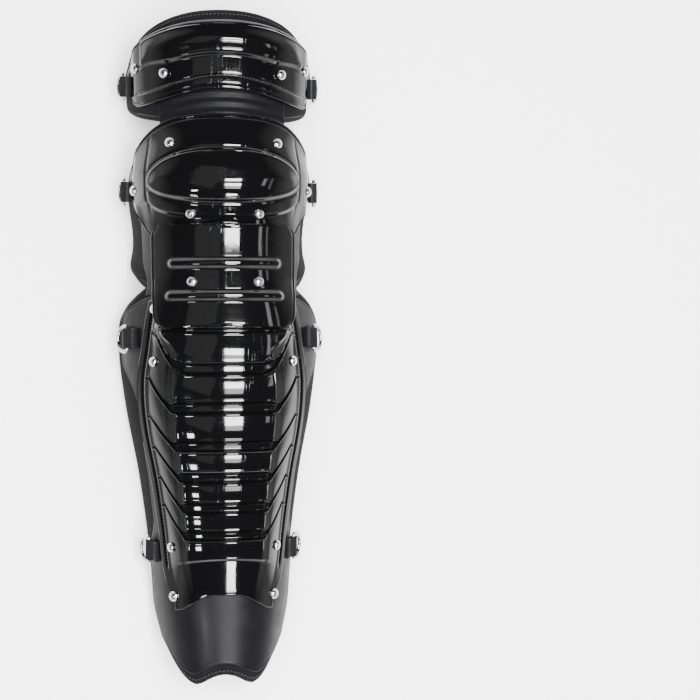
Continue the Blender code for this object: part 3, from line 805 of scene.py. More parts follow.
def knit(name, dark, light, pitch, mapped=True):
    """A knit: two crossed waves make its loops, and flecks vary the yarn.

    The waves lie on the surface map, or on object coordinates where a piece has no map.
    """
    made, tree, shader = new_material(
        name, dark, 0.95, Sheen_Weight=0.01, Sheen_Roughness=0.5, Specular_IOR_Level=0.1
    )
    place = surface_place(tree) if mapped else add(tree, "ShaderNodeTexCoord").outputs["Object"]
    loops = times(tree, *crossed_waves(tree, place, pitch, (("X", 1.0), ("Y", 0.8)), 1.6, 2.0))
    flecks = object_noise(tree, 900, 3)
    patches = remap(tree, object_noise(tree, 26, 3), 0.25, 0.8, 0.45, 1.0)
    share = times(tree, remap(tree, flecks, 0.42, 0.72), patches)
    share = math_node(tree, "MAXIMUM", share, times(tree, loops, 0.35))
    height = math_node(tree, "ADD", loops, times(tree, flecks, 0.8))
    colour = mix_colours(tree, share, dark, light)
    drive(tree, shader, Base_Color=colour, Normal=bump(tree, height, 0.55, 0.00035))
    return made


def webbing_weave(name, colour, pitch):
    """Woven tape: fine ribs across its length and finer ones along it."""
    made, tree, shader = new_material(
        name, colour, 0.75, Sheen_Weight=0.01, Specular_IOR_Level=0.15
    )
    bands = (("Y", 1.0), ("X", 1.6))
    cross, length = crossed_waves(tree, surface_place(tree), pitch, bands, 0.5, 1.0)
    height = math_node(tree, "ADD", cross, times(tree, length, 0.6))
    lighter = tuple(2.2 * c for c in colour)
    ribbed = mix_colours(tree, times(tree, height, 0.5), colour, lighter)
    drive(tree, shader, Base_Color=ribbed, Normal=bump(tree, height, 0.7, 0.0003))
    return made


def sewing_thread(name, colour):
    """Thread with a light sheen and a very fine grain."""
    made, tree, shader = new_material(name, colour, 0.55, Sheen_Weight=0.2)
    drive(tree, shader, Normal=bump(tree, object_noise(tree, 5000, 1), 0.4, 0.0001))
    return made


fabric = knit("charcoal_knit", CLOTH_BLACK, YARN_GREY, 0.0011)
cushion_knit = knit("cushion_knit", CLOTH_BLACK, YARN_GREY, 0.0011, mapped=False)
binding_tape = webbing_weave("binding_tape", CLOTH_BLACK, 0.0009)
webbing = webbing_weave("webbing", (0.0028, 0.0028, 0.0032), 0.0014)
thread = sewing_thread("thread", (0.012, 0.012, 0.013))
print("cloths:", fabric.name, cushion_knit.name, binding_tape.name, webbing.name, thread.name)

# %% [markdown]
# Rivets and rings are plated steel, a little smeared, so they aren't perfect mirrors. The foam
# shows only in the cut edges of the vents.

# %% Chrome and foam
def chrome_plate():
    """Bright metal, smeared by soft noise and very slightly uneven."""
    made, tree, shader = new_material("chrome", (0.82, 0.82, 0.84), 0.1, Metallic=1.0)
    smear = remap(tree, object_noise(tree, 400, 3), 0.35, 0.75, 0.18, 0.34)
    uneven = bump(tree, object_noise(tree, 900, 1), 0.12, 0.0002)
    drive(tree, shader, Roughness=smear, Normal=uneven)
    return made


def open_foam():
    """Pale foam: fine noise sinks its pores, and painted shade darkens them in the colour."""
    made, tree, shader = new_material("foam", (0.80, 0.79, 0.76), 0.95)
    pores = object_noise(tree, 1800, 2)
    # painted shade: the pores that the bump sinks get the darker colour
    share = remap(tree, pores, 0.35, 0.6)
    colour = mix_colours(tree, share, (0.60, 0.59, 0.56), (0.86, 0.85, 0.82))
    drive(tree, shader, Base_Color=colour, Normal=bump(tree, pores, 0.6, 0.0004))
    return made


chrome = chrome_plate()
foam = open_foam()
print("others:", chrome.name, foam.name)

# %% [markdown]
# The shin plate is moulded like a rib cage, in bands between grooves. The grooves run straight over
# the middle and sweep up over the flanks. On a plain grid they would cut across the lines and leave
# jagged edges, so this plate's lines follow them, and crowd together inside them.

# %% Shin plate's grid
# Each groove's two edges, as shares of the plate's length. The first is only a crease at the foot.
GROOVES = (
    (0.112, 0.134), (0.186, 0.218), (0.276, 0.312), (0.378, 0.413),
    (0.481, 0.517), (0.606, 0.646), (0.736, 0.776), (0.872, 0.890),
)
GROOVE_MIDDLES = np.mean(GROOVES, axis=1)
GROOVE_HALVES = np.ptp(GROOVES, axis=1) / 2


def shin_plate_side(share):
    """The table's cubic, drawn in by a tenth at the foot's corners."""
    return smooth_column(SHIN_EDGE, 1, share) * (1 - 0.10 * smooth_step(share, 0.055, 0.0) ** 2)


def groove_sweep(across):
    """How far a groove leans towards the thigh: a power of 1.15, out on the flanks."""
    return 0.026 * np.clip((across - 0.50) / 0.29, 0, 1) ** 1.15


def groove_lines(count, edge=0.008):
    """Shares along the plate, three times as close together inside the grooves."""
    fine = np.linspace(0, 1, 4001)
    off = (fine[:, None] - GROOVE_MIDDLES) / (1.1 * GROOVE_HALVES)
    run = np.cumsum(1 + 2.2 * np.exp(-(off**4)).sum(axis=1))
    run = (run - run[0]) / (run[-1] - run[0])
    even = np.interp(np.linspace(0, 1, count), run, fine)
    ends = lines(count, edge)[:6]
    middle = even[(even > 1.3 * edge) & (even < 1 - 1.3 * edge)]
    return np.concatenate([ends, middle, 1 - ends[::-1]])


def shin_plate_grid(low, high, side, across, along):
    """A grid whose rows run along the grooves, and bend to the outline only near both ends."""
    share = along[:, None]
    out = 2 * across[None, :] - 1
    turn = out * side(share)
    straight = SHIN_PLATE_START + SHIN_PLATE_LENGTH * share
    foot = np.clip(1 - share / 0.11, 0, 1) ** 1.5
    thigh = np.clip(1 - (1 - share) / 0.11, 0, 1) ** 1.5
    station = straight + (low(turn) - SHIN_PLATE_START) * foot + (high(turn) - SHIN_PLATE_END) * thigh
    lean = np.clip(share / 0.17, 0, 1) * np.clip((1 - share) / 0.22, 0, 1)
    station = station + groove_sweep(np.abs(out)) * lean
    return station, out * side((station - SHIN_PLATE_START) / SHIN_PLATE_LENGTH)


print(len(groove_lines(290)), "lines along the shin plate, for", len(GROOVES), "grooves")

# %% [markdown]
# A centre panel stands 8 mm proud, a narrow facet bevels its sides, and steep flanks fall to a flat
# flange. The grooves thin out over the flanks, and the top band is a shield, so its groove sweeps up
# further. It could be modelled face by face, but a relief is easier to tune: a rise out of the leg
# form, worked out from where a point lies.

# %% Shin plate
FLANGE = 0.86
SEWN_LINE = 0.885


def groove_course(number, across):
    """A groove's lean, the share of its width that is left out there, and its depth's share."""
    if number == len(GROOVES) - 1:
        return 0.0, 0.8, 0.6
    if number == len(GROOVES) - 2:
        lean = 0.031 * np.clip((across - 0.32) / 0.44, 0, 1) ** 2.0
        return lean, 1 - 0.70 * smooth_step(across, 0.40, 0.60), 1.0
    return groove_sweep(across), 1 - 0.70 * smooth_step(across, 0.44, 0.58), 1.0


def shin_plate_relief(station, turn, rim):
    """Rise of the outer face: the panel's profile across, less the grooves, plus small lips.

    Each groove is a flat-bottomed ramp by distance from its course. A wide hump taken off round it
    crowns the bands, and a narrow one beside it leaves the lip that catches the light.
    """
    along = (station - SHIN_PLATE_START) / SHIN_PLATE_LENGTH
    across = np.abs(turn) / smooth_column(SHIN_EDGE, 1, along)
    shield = smooth_step(along, 0.80, 0.90)
    facet, flank = 0.455 + 0.245 * shield, 0.56 + 0.185 * shield
    body = 1 - 0.26 * ramp(across, facet, flank - 0.015, 0.012)
    body = body - 0.74 * ramp(across, flank, 0.80 + 0.04 * shield, 0.012)
    rise = BAND_RISE * body * (0.45 + 0.55 * smooth_step(along, -0.02, 0.18))
    fade = smooth_step(across, FLANGE, 0.79)
    lip = bell(across, facet, 0.009) * smooth_step(along, 0.13, 0.16)
    cut, crown = np.zeros_like(rise), np.zeros_like(rise)
    middles = SHIN_PLATE_START + SHIN_PLATE_LENGTH * GROOVE_MIDDLES
    crease = middles[0] - 0.007 * (across / 0.8) ** 2
    rise = rise - 0.0016 * ramp(station, crease + 0.0010, crease - 0.0010, 0.0004) * body
    for number in range(1, len(GROOVES)):
        lean, thin, depth = groove_course(number, across)
        half = SHIN_PLATE_LENGTH * GROOVE_HALVES[number] * thin
        away = np.abs(station - middles[number] - lean)
        cut = np.maximum(cut, depth * (1 - ramp(away / half, 0.55, 1.0, 0.12)) * fade)
        lip = np.maximum(lip, bell(away, 1.14 * half, 0.00045) * fade)
        crown = crown + depth * bell(away, 0, 0.0105) * fade
    rise = rise - BAND_GROOVE * (0.30 + 0.70 * body) * cut
    rise = rise - 0.0009 * body * crown + 0.00050 * lip * (1 - cut)
    seam = bell(across, SEWN_LINE, 0.016) * smooth_step(along, 0.085, 0.10)
    return rise - 0.0013 * seam + rim_lip(rim, 0.0012, 0.0003, 0.0)


def plate_of(name, low, high, side, across, along, base, relief, thickness, radius, finish, lay=grid):
    """A moulded plate: its outer face takes the relief and rolls over at the rim.

    The inner face follows 0.36 of the rise, so that the wall stays a wall under the bands.
    """
    station, turn = lay(low, high, side, across, along)
    flat = form_point(station, turn, base(turn) + thickness)
    rim = rim_distance(flat)
    rise = relief(station, turn, rim) - roll(rim, radius)
    outer = form_point(station, turn, base(turn) + thickness + rise)
    inner = form_point(station, turn, base(turn) + 0.36 * np.clip(rise, 0, None))
    piece = wall(name, outer, inner, surface_uv(flat, station), [finish])
    return put(piece, "guard", [name])


plate_of(
    "shin_plate", shin_plate_bottom, shin_plate_top, shin_plate_side,
    lines(151, 0.02), groove_lines(290),
    level(SHIN_PLATE_IN), shin_plate_relief, PLATE_WALL, 0.0018, gloss, shin_plate_grid,
)

# %% [markdown]
# The knee plate is a dome with an almond-shaped lens raised out of it and a fold under the lens.
# The lens could be a second mesh pressed through the dome, but the real one is a single moulding.
# So distances to the lens's outline, in metres, shape a crisp step and a soft crown inside it.

# %% Knee plate
TURN_GIRTH = 0.118
LENS_SIDE = 0.475
LENS_MIDDLE = KNEE_PLATE_START + 0.39 * KNEE_PLATE_LENGTH
LENS_UP = 0.29 * KNEE_PLATE_LENGTH
LENS_DOWN = 0.19 * KNEE_PLATE_LENGTH


def plate_base(turn):
    """Inner face of a plate that rests on a pad at its sides and over a link at its middle."""
    over_link = smooth_step(np.abs(turn), 0.72, 0.62)
    return PLATE_IN + (PLATE_OVER_LINK_IN - PLATE_IN) * over_link


def knee_side(share):
    """Nearly straight: the side edge draws in by the square of the distance past half way."""
    end = np.abs(2 * share - 1)
    return KNEE_PLATE_SIDE * (1 - 0.05 * np.clip((end - 0.5) / 0.5, 0, 1) ** 2)


def lens_depth(station, size):
    """The lens's bow, 1 at its middle and 0 at its tips, and the distance inside its outline.

    The distance to each edge is the one along the guard over the edge's slope. The least of them
    counts, and it is below zero outside the lens.
    """
    bow = np.clip(1 - (size / LENS_SIDE) ** 2.3, 1e-3, 1) ** 0.56
    lean = 1.29 * size**1.3 / LENS_SIDE**2.3 * bow ** (-0.44 / 0.56) / TURN_GIRTH
    above = (LENS_MIDDLE + LENS_UP * bow - station) / np.hypot(1, LENS_UP * lean)
    below = (station - LENS_MIDDLE + LENS_DOWN * bow) / np.hypot(1, LENS_DOWN * lean)
    return bow, np.minimum(np.minimum(above, below), (LENS_SIDE - size) * TURN_GIRTH)


def knee_plate_relief(station, turn, rim):
    """A dome of three S-curves, plus the lens with its moat and lip, and a shelf under the fold."""
    low, high = knee_plate_bottom(turn), knee_plate_top(turn)
    along = (station - low) / (high - low)
    size = np.abs(turn)
    dome = smooth_step(station, FLAP_END, FLAP_END + 0.3 * KNEE_PLATE_LENGTH)
    dome = dome * smooth_step(along, 0.98, 0.60) * smooth_step(size, 0.78, 0.35)
    bow, inside = lens_depth(station, size)
    lens = 0.40 * ramp(inside, -0.0002, 0.0020, 0.0005) + 0.60 * smooth_step(inside, 0.0, 0.019)
    lens = lens + 0.07 * bell(inside, 0.0027, 0.0006)
    fold = station - (LENS_MIDDLE - LENS_DOWN * bow - 0.0125 - 0.004 * (size / 0.47) ** 2)
    shelf = 0.0018 * (ramp(fold, -0.0010, 0.0014, 0.0005) - 1) * smooth_step(size, 0.66, 0.56)
    rise = DOME_RISE * dome + LENS_RISE * lens - 0.0007 * bell(inside, -0.0014, 0.0011)
    return rise + shelf + rim_lip(rim)


plate_of(
    "knee_plate", knee_plate_bottom, knee_plate_top, knee_side, lines(181, 0.016), lines(131, 0.025),
    plate_base, knee_plate_relief, PLATE_WALL, 0.0018, gloss,
)

# %% [markdown]
# The knee flap hangs over the joint between the knee plate and the shin plate, and slides there as
# the knee bends. Two ribs with rounded ends stiffen it. A swept tube laid on the flap would leave a
# seam round it, so each rib is a rise round a line segment, by distance from the segment.

# %% Knee flap
def knee_flap_relief(station, turn, rim):
    """Two ribs: an S-curve of the distance from a line segment, 1 on the segment."""
    run = np.abs(turn) * TURN_GIRTH
    rise = np.zeros_like(run)
    for share in (0.620, 0.310):
        away = np.hypot(np.clip(run - 0.036, 0, None), station - FLAP_START - share * FLAP_LENGTH)
        rise = rise + 1 - smooth_step(away, 0.0008, 0.0058)
    return FLAP_RIB * rise + rim_lip(rim, 0.0014, 0.0003, 0.0004)


def flap_side(share):
    """A side that widens towards the knee, with corners that draw in by a quarter circle."""
    end = np.clip((np.abs(2 * share - 1) - 0.72) / 0.28, 0, 1)
    turn = 0.412 + 0.066 * smooth_step(share, 0.05, 0.60)
    return turn * (1 - 0.24 * (1 - np.sqrt(1 - 0.999 * end**2)))


plate_of(
    "knee_flap", level(FLAP_START), level(FLAP_END), flap_side, lines(121, 0.02), lines(111, 0.03),
    level(FLAP_IN), knee_flap_relief, PLATE_WALL, 0.0014, gloss,
)

# %% [markdown]
# The thigh plate bulges out in a D with a crisp lower edge, above a flange with a sewn groove. Like
# the lens, the bulge is a rise by distance inside an outline, here with blended corners. The satin
# neck and link plates lie between the glossy ones, and the neck is ridged so that it bends.

# %% Thigh, neck and link plates
THIGH_SEAM = 0.0115
NECK_RIDGE_PITCH = 0.0085


def thigh_side(share):
    """The side edge draws in by a power of 2.4 at the top and by a square at the bottom."""
    high, low = np.clip((share - 0.35) / 0.65, 0, 1), np.clip((0.30 - share) / 0.30, 0, 1)
    return THIGH_PLATE_SIDE * (1 - 0.20 * high**2.4 - 0.07 * low**2)


def thigh_plate_relief(station, turn, rim):
    """The bulge: a ramp and an S-curve of the blended least distance to its three edges."""
    low, high = thigh_plate_bottom(turn), thigh_plate_top(turn)
    size = np.abs(turn)
    crease = low + 0.47 * (high - low) + 0.004 * smooth_step(size, 0.30, 0.50)
    three = np.stack([station - crease, (0.56 - size) * 0.12, high - 0.001 - station])
    blended = np.sum(np.clip(three, 1e-4, None) ** -4.0, axis=0) ** (-1 / 4)
    inside = np.where(three.min(axis=0) < 0, three.min(axis=0), blended)
    bulge = 0.34 * ramp(inside, 0.0, 0.0030, 0.0006) + 0.66 * smooth_step(inside, 0.0, 0.022)
    bulge = bulge + 0.04 * bell(inside, 0.0037, 0.0006)
    seam = bell(station, low + THIGH_SEAM, 0.0011) * smooth_step(size, 0.66, 0.60)
    return THIGH_BULGE * bulge - 0.0011 * seam + rim_lip(rim)


def neck_relief(station, turn, rim):
    """Ridges: a cosine wave along the neck, bowed by the square of the turn, flat at the rim."""
    wave = np.cos((station - NECK_START + 0.055 * turn**2) / NECK_RIDGE_PITCH * 2 * math.pi)
    return 0.00045 * wave * smooth_step(rim, 0.0, 0.004)


def no_relief(station, turn, rim):
    """A plain face: no rise anywhere."""
    return 0 * turn


plate_of(
    "thigh_plate", thigh_plate_bottom, thigh_plate_top, thigh_side, lines(181, 0.016), lines(91, 0.04),
    plate_base, thigh_plate_relief, PLATE_WALL, 0.0018, gloss,
)
plate_of(
    "neck_plate", level(NECK_START), level(NECK_START + NECK_LENGTH), level(NECK_SIDE),
    lines(81, 0.02), lines(81, 0.03), level(LINK_IN), neck_relief, LINK_WALL, 0.0008, neck_satin,
)
plate_of(
    "link_plate", level(LINK_START), link_top, link_side, lines(61, 0.02), lines(61, 0.02),
    level(LINK_IN), no_relief, LINK_WALL, 0.0008, satin,
)

# %% [markdown]
# Five square vents with rounded corners let air through the inner shell and the shin liner. A
# Boolean could cut them, but both layers are curved and thin, and the cut would break their grids.
# A field that is negative inside a rounded square marks the cells to drop instead, and the points
# round the hole slide onto its outline. The cut shows the liner's white foam.

# %% Vents
# Each vent's middle: share of the liner's length, and sides of a vent off the middle line
VENTS = ((0.678, -1.08), (0.678, 1.08), (0.531, -0.94), (0.531, 0.94), (0.387, 0.0))


def vent_field(points, grow=0.0):
    """Distance from the nearest vent's outline: a square's, with its corners rounded."""
    found = np.full(points.shape[:2], 1.0)
    for along, across in VENTS:
        x = np.abs(points[..., 0] - across * VENT_SIDE)
        y = np.abs(points[..., 1] - (along * LINER_LENGTH - GUARD_LENGTH / 2))
        x = x - (VENT_SIDE / 2 + grow - VENT_CORNER)
        y = y - (VENT_SIDE / 2 + grow - VENT_CORNER)
        outside = np.hypot(np.clip(x, 0, None), np.clip(y, 0, None))
        found = np.minimum(found, outside + np.minimum(np.maximum(x, y), 0) - VENT_CORNER)
    return found


print(len(VENTS), "vents of", VENT_SIDE, "m")

# %% [markdown]
# The inner shell is a thin satin sheet between the liner and the shin plate. It shows as the foot
# guard, as a strip beside the plate and as the wings. A shallow line is pressed in beside its edge.

# %% Inner shell
station, turn = grid(shell_bottom, shell_top, shell_side, lines(131, 0.012), lines(241, 0.008))
flat = form_point(station, turn, SHELL_IN + SHELL_WALL)
rim = rim_distance(flat)
inner = form_point(station, turn, SHELL_IN)
drop = roll(rim, 0.0009) + 0.0004 * bell(rim, 0.003, 0.0007)
outer = form_point(station, turn, SHELL_IN + SHELL_WALL - drop)
shell = wall("shin_shell", outer, inner, surface_uv(flat, station), [satin], vent_field(inner))
put(shell, "guard", ["shin_shell"])

# %% [markdown]
# The liner and pads are foam between layers of knit, squeezed at the rim by a sewn binding. They
# could be swollen by cloth simulation, but foam this thin hardly swells, so the thickness is worked
# out: it falls towards the rim, and sewn lines press creases into the inner face.

# %% Padding
def padding(name, low, high, side, across, along, inside, thickness, inner_rise, hole):
    """A padded layer with a knit skin; inner_rise lifts its inner face towards the leg."""
    station, turn = grid(low, high, side, across, along)
    flat = form_point(station, turn, inside + thickness / 2)
    rim = rim_distance(flat)
    press = 0.0016 * smooth_step(rim, 0.011, 0.004)
    outer = form_point(station, turn, inside + thickness - press)
    inner = form_point(station, turn, inside + press - inner_rise(station, turn, rim))
    for skin in (outer, inner):
        skin[..., 2] = np.maximum(skin[..., 2], 0.0006)
    field = vent_field(flat, -0.0008) if hole else None
    piece = wall(name, outer, inner, surface_uv(flat, station), [fabric, fabric, foam], field)
    put(piece, "guard", [name])
    return station, turn, flat


def rounded_side(share):
    """A whole turn, drawn in by squared S-curves at the four corners."""
    return 1 - 0.05 * smooth_step(share, 0.90, 1.0) ** 2 - 0.08 * smooth_step(share, 0.09, 0.0) ** 2


def liner_rise(station, turn, rim):
    """Sewn creases: one beside each edge of the channel, and one round the rim."""
    bend = 0.60 + 0.10 * smooth_step(station, 0.10, 0.30)
    crease = bell(np.abs(turn), bend, 0.022) * smooth_step(station, 0.045, 0.06)
    crease = crease * smooth_step(station, 0.335, 0.31)
    puff = 0.0012 * smooth_step(rim, 0.004, 0.030)
    return puff - 0.0011 * crease - 0.0006 * bell(rim, 0.013, 0.0016)


def pad_rise(station, turn, rim):
    """A soft swell inside the rim, with a sewn crease round it."""
    return 0.0008 * smooth_step(rim, 0.004, 0.02) - 0.0009 * bell(rim, 0.012, 0.0015)


liner_grid = padding(
    "shin_liner", liner_bottom, liner_top, rounded_side, lines(141, 0.012), lines(251, 0.01),
    0.0, LINER_WALL, liner_rise, True,
)
knee_grid = padding(
    "knee_pad", knee_pad_bottom, knee_pad_top, rounded_side, lines(141, 0.012), lines(91, 0.02),
    PAD_IN, PAD_WALL, pad_rise, False,
)
thigh_grid = padding(
    "thigh_pad", thigh_pad_bottom, thigh_pad_top, rounded_side, lines(141, 0.012), lines(71, 0.03),
    PAD_IN, PAD_WALL, pad_rise, False,
)

# %% [markdown]
# Two cushions stand out of the pads' inner faces, a bean-shaped one at the knee and a rounded
# panel at the thigh. Each starts as a flat slab in the outline's shape. Cloth simulation with air
# pressure swells it, held at its back, which gives the soft crown that stuffing gives.

# %% Cushions
BEAN_HALF = 0.72


def knee_cushion_bottom(turn):
    """Straight at the middle, 10 mm higher at the sides by an S-curve."""
    return LINER_LENGTH + 0.003 + 0.010 * smooth_step(np.abs(turn), 0.35, 0.75)


def knee_cushion_top(turn):
    """An arch that falls by a power of 2.2."""
    return KNEE_PAD_END - 0.010 - 0.052 * np.abs(turn / BEAN_HALF) ** 2.2


def thigh_cushion_bottom(turn):
    """The pad's lower edge, 16 mm further in."""
    return thigh_pad_bottom(turn) + 0.016


def thigh_cushion_top(turn):
    """The pad's upper edge, 16 mm further in."""
    return thigh_pad_top(turn) - 0.016


def bean_side(share):
    """The side edge draws in at both ends by a cube."""
    return 0.70 * (1 - 0.16 * np.abs(2 * share - 1) ** 3)


def panel_side(share):
    """The side edge draws in a little at both ends by a fourth power."""
    return 0.78 * (1 - 0.08 * np.abs(2 * share - 1) ** 4)


def places(mesh):
    """A mesh's vertices as an array of x, y, z."""
    found = np.empty(len(mesh.vertices) * 3)
    mesh.vertices.foreach_get("co", found)
    return found.reshape(-1, 3)


def swell(piece, back):
    """Cloth simulation with air pressure, the slab's back held, and no point moved past 3 mm."""
    bpy.context.view_layer.objects.active = piece
    piece.data.remesh_voxel_size = 0.004
    bpy.ops.object.select_all(action="DESELECT")
    piece.select_set(True)
    bpy.ops.object.voxel_remesh()
    start = places(piece.data)
    near = np.linalg.norm(start[:, None, :] - back.reshape(1, -1, 3), axis=2).min(axis=1)
    held = piece.vertex_groups.new(name="held")
    held.add([int(i) for i in np.nonzero(near < 0.0022)[0]], 1.0, "REPLACE")
    cloth = piece.modifiers.new("cloth", "CLOTH")
    cloth.settings.use_pressure = True
    cloth.settings.uniform_pressure_force = 4.0
    cloth.settings.effector_weights.gravity = 0.0
    cloth.settings.vertex_group_mass = "held"
    for number in range(1, 21):
        bpy.context.scene.frame_set(number)
    graph = bpy.context.evaluated_depsgraph_get()
    move = places(piece.evaluated_get(graph).data) - start
    size = np.linalg.norm(move, axis=1, keepdims=True)
    move = move * np.minimum(1, 0.0030 / np.maximum(size, 1e-9))
    piece.modifiers.remove(cloth)
    piece.vertex_groups.remove(held)
    bpy.context.scene.frame_set(1)
    piece.data.vertices.foreach_set("co", (start + move).ravel())
    piece.data.update()
    smoother = piece.modifiers.new("round", "SUBSURF")
    smoother.levels = smoother.render_levels = 1


def cushion(name, low, high, side):
    """A slab on the pad's inner face, swollen, with a row of stitches round it."""
    station, turn = grid(low, high, side, np.linspace(0, 1, 41), np.linspace(0, 1, 25))
    back = form_point(station, turn, PAD_IN + 0.0045)
    front = form_point(station, turn, PAD_IN - 0.0010)
    piece = wall(name, back, front, surface_uv(back, station), [cushion_knit])
    swell(piece, back)
    piece.data.shade_smooth()
    put(piece, "guard", [])
    loop, normal = soften(border(front), 6), border(form_frame(station, turn))
    loop = loop - 0.0035 * np.cross(normal, loop_tangent(loop))
    row = (close_loop(loop), -close_loop(normal))
    put(stitches(name + "_stitches", [row], thread), "guard", [])


cushion("knee_cushion", knee_cushion_bottom, knee_cushion_top, bean_side)
cushion("thigh_cushion", thigh_cushion_bottom, thigh_cushion_top, panel_side)

# %% [markdown]
# A binding is a tape folded over the pad's edge and sewn through. A folded sheet would need a
# tight bend at each corner, so it is a rounded profile swept round the grid's border, with a row
# of stitches on its outer face and one on its inner face.

# %% Bindings
def bind(name, station, turn, flat, half_height, half_width=0.0030):
    """A squarish oval profile swept round a border, just inside it, and its two rows of stitches."""
    normal = close_loop(border(form_frame(station, turn)))
    path, normal = resample(close_loop(border(flat)), 0.0022, normal)
    path, normal = soften(path[:-1], 4), unit(soften(normal[:-1], 4))
    inward = np.cross(normal, loop_tangent(path))
    path = path + 0.85 * half_width * inward
    path[:, 2] = np.maximum(path[:, 2], half_width * 0.95)
    profile = circle(16, 0.7) * (half_width, half_height)
    tape = swept(name + "_binding", path, normal, profile[::-1], [binding_tape])
    put(face_out(tape), "guard", [])
    middle = close_loop(path + 0.35 * half_width * inward)
    out = close_loop(normal)
    rows = [(middle + sign * 0.93 * half_height * out, sign * out) for sign in (1, -1)]
    put(stitches(name + "_binding_stitches", rows, thread), "guard", [])


bind("shin_liner", *liner_grid, 0.0031)
bind("knee_pad", *knee_grid, 0.0036)
bind("thigh_pad", *thigh_grid, 0.0036)

# %% [markdown]
# Sewn rows hold the plates on, and lie in the grooves that were pressed for them: one down each
# side of the shin plate, and one along the thigh plate's flange.

# %% Seams
share = np.linspace(0.10, 1.0, 200)
station = SHIN_PLATE_START + SHIN_PLATE_LENGTH * share
seam_rows = []
for sign in (-1, 1):
    turn = sign * 0.87 * smooth_column(SHIN_EDGE, 1, share)
    seam_rows.append(row_on_form(station, turn, SHIN_PLATE_IN + PLATE_WALL - 0.0007))
turn = np.linspace(-0.58, 0.58, 200)
station = thigh_plate_bottom(turn) + THIGH_SEAM
seam_rows.append(row_on_form(station, turn, plate_base(turn) + PLATE_WALL - 0.0006))
put(stitches("plate_seams", seam_rows, thread, 0.0030, 0.0019), "guard", [])

# %% [markdown]
# A rivet's head is a domed profile turned about its axis. Spheres cut in half would lack the flat
# rim that it is pressed down to. Twenty rivets share one profile, in one mesh, and each is seated
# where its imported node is.

# %% Rivets
def node_points(name):
    """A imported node's vertices as an array."""
    return places(frame["nodes"][name].data)


def rivet_frame(name):
    """Seat and outward axis of a packed rivet, read from its flat foot."""
    points = np.unique(np.round(node_points(name), 6), axis=0)
    _, _, axes = np.linalg.svd(points - points.mean(axis=0), full_matrices=False)
    axis = axes[2]
    height = points @ axis
    foot = points[height < height.min() + 2e-4].mean(axis=0)
    top = points[height > height.max() - 2e-4].mean(axis=0)
    ends = (height.min(), height.max())
    spread = [np.ptp(points[np.abs(height - end) < 2e-4] @ axes[0]) for end in ends]
    if spread[0] < spread[1]:
        foot, top, axis = top, foot, -axis
    return foot, unit(axis)


# Shares of the rivet's radius and height, from the top of the dome to under its rim
RIVET_PROFILE = np.array([
    (0.002, 1.00), (0.16, 0.99), (0.34, 0.95), (0.52, 0.87), (0.68, 0.75), (0.80, 0.60), (0.88, 0.44),
    (0.93, 0.30), (0.955, 0.20), (0.985, 0.16), (1.00, 0.10), (0.995, 0.02), (0.97, -0.25),
])
names = [f"rivet_{number}_{side}" for number in range(1, 11) for side in ("left", "right")]
around = circle(28)
radius = RIVET_RADIUS * RIVET_PROFILE[:, :1, None]
height = RIVET_HEIGHT * RIVET_PROFILE[:, 1:, None]
points = []
for name in names:
    foot, axis = rivet_frame(name)
    first = unit(np.cross(axis, (0.0, 1.0, 0.0)))
    ring = around[:, :1] * first + around[:, 1:] * np.cross(axis, first)
    points.append((foot + radius * ring + height * axis).reshape(-1, 3))
starts = np.arange(len(names))[:, None, None] * len(points[0])
faces = (tube_faces(len(RIVET_PROFILE), len(around), False) + starts).reshape(-1, 4)
rivets = make_mesh("rivets", np.concatenate(points), faces, None, [chrome], crease=60)
put(rivets, "guard", names)

# %% [markdown]
# Each D-ring is wire bent to a straight bar and a bow, which a strap's hook takes hold of. It could
# be a curve with a bevel, but a sweep gives the export an even mesh. The ring turns in a loop of
# webbing, so it is its own piece on its own body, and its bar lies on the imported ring's joint.

# %% D-rings
joint_of = {joint["child"]: joint for joint in frame["joints"]}


def ring_axes(name):
    """Place of the ring's bar, and its directions: away from the bar, along it, and out."""
    joint = joint_of[name]
    place, bar = np.array(joint["pos_m"], float), -unit(np.array(joint["axis"], float))
    away = node_points(name).mean(axis=0) - place
    away = unit(away - away @ bar * bar)
    return place, away, bar, np.cross(away, bar)


def bend_ring(name, place, away, bar, out):
    """Wire round a D: its bow is cosine to the power 0.75 by sine, closed by the straight bar."""
    angle = np.linspace(-math.pi / 2, math.pi / 2, 41)
    bow = np.stack([RING_REACH * np.cos(angle) ** 0.75, RING_HALF_WIDTH * np.sin(angle)], axis=1)
    straight = np.stack([np.zeros(11), np.linspace(1, -1, 13)[1:-1] * RING_HALF_WIDTH], axis=1)
    line = np.concatenate([bow, straight])
    path = soften(place + line[:, :1] * away + line[:, 1:] * bar, 1)
    outward = np.repeat(out[None], len(path), axis=0)
    ring = swept(name + "_wire", path, outward, WIRE_RADIUS * circle(14), [chrome], crease=80)
    put(face_out(ring), name, [name])


CORNERS = [(name, side) for name in ("thigh", "knee", "calf", "ankle") for side in ("left", "right")]
print(len(CORNERS), "rings of wire", 2 * WIRE_RADIUS, "m thick")

# %% [markdown]
# Each tab is a strip of webbing folded round its ring's bar and sewn to itself. Cloth simulation
# could fold it, but stiff webbing this short takes one shape only: flat, half a circle round the
# bar, and down again. So its side view is a line, which gets a thickness and a width. Each corner's
# ring and tab are then made together, on the same axes.

# %% Tabs
LOOP_RADIUS = WIRE_RADIUS + SEAT_GAP + WEBBING_WALL / 2
BAR_HEIGHT = WEBBING_WALL / 2 + LOOP_RADIUS
TAB_LOW = WEBBING_WALL / 2
TAB_HIGH = TAB_LOW + WEBBING_WALL + SEAT_GAP
# Across the webbing: place as a share of its half width, and half thickness as a share of its wall
WEBBING_EDGE = np.array([
    (-1, 0.2), (-0.985, 0.42), (-0.9, 0.5), (-0.45, 0.5), (0, 0.5),
    (0.45, 0.5), (0.9, 0.5), (0.985, 0.42), (1, 0.2),
])


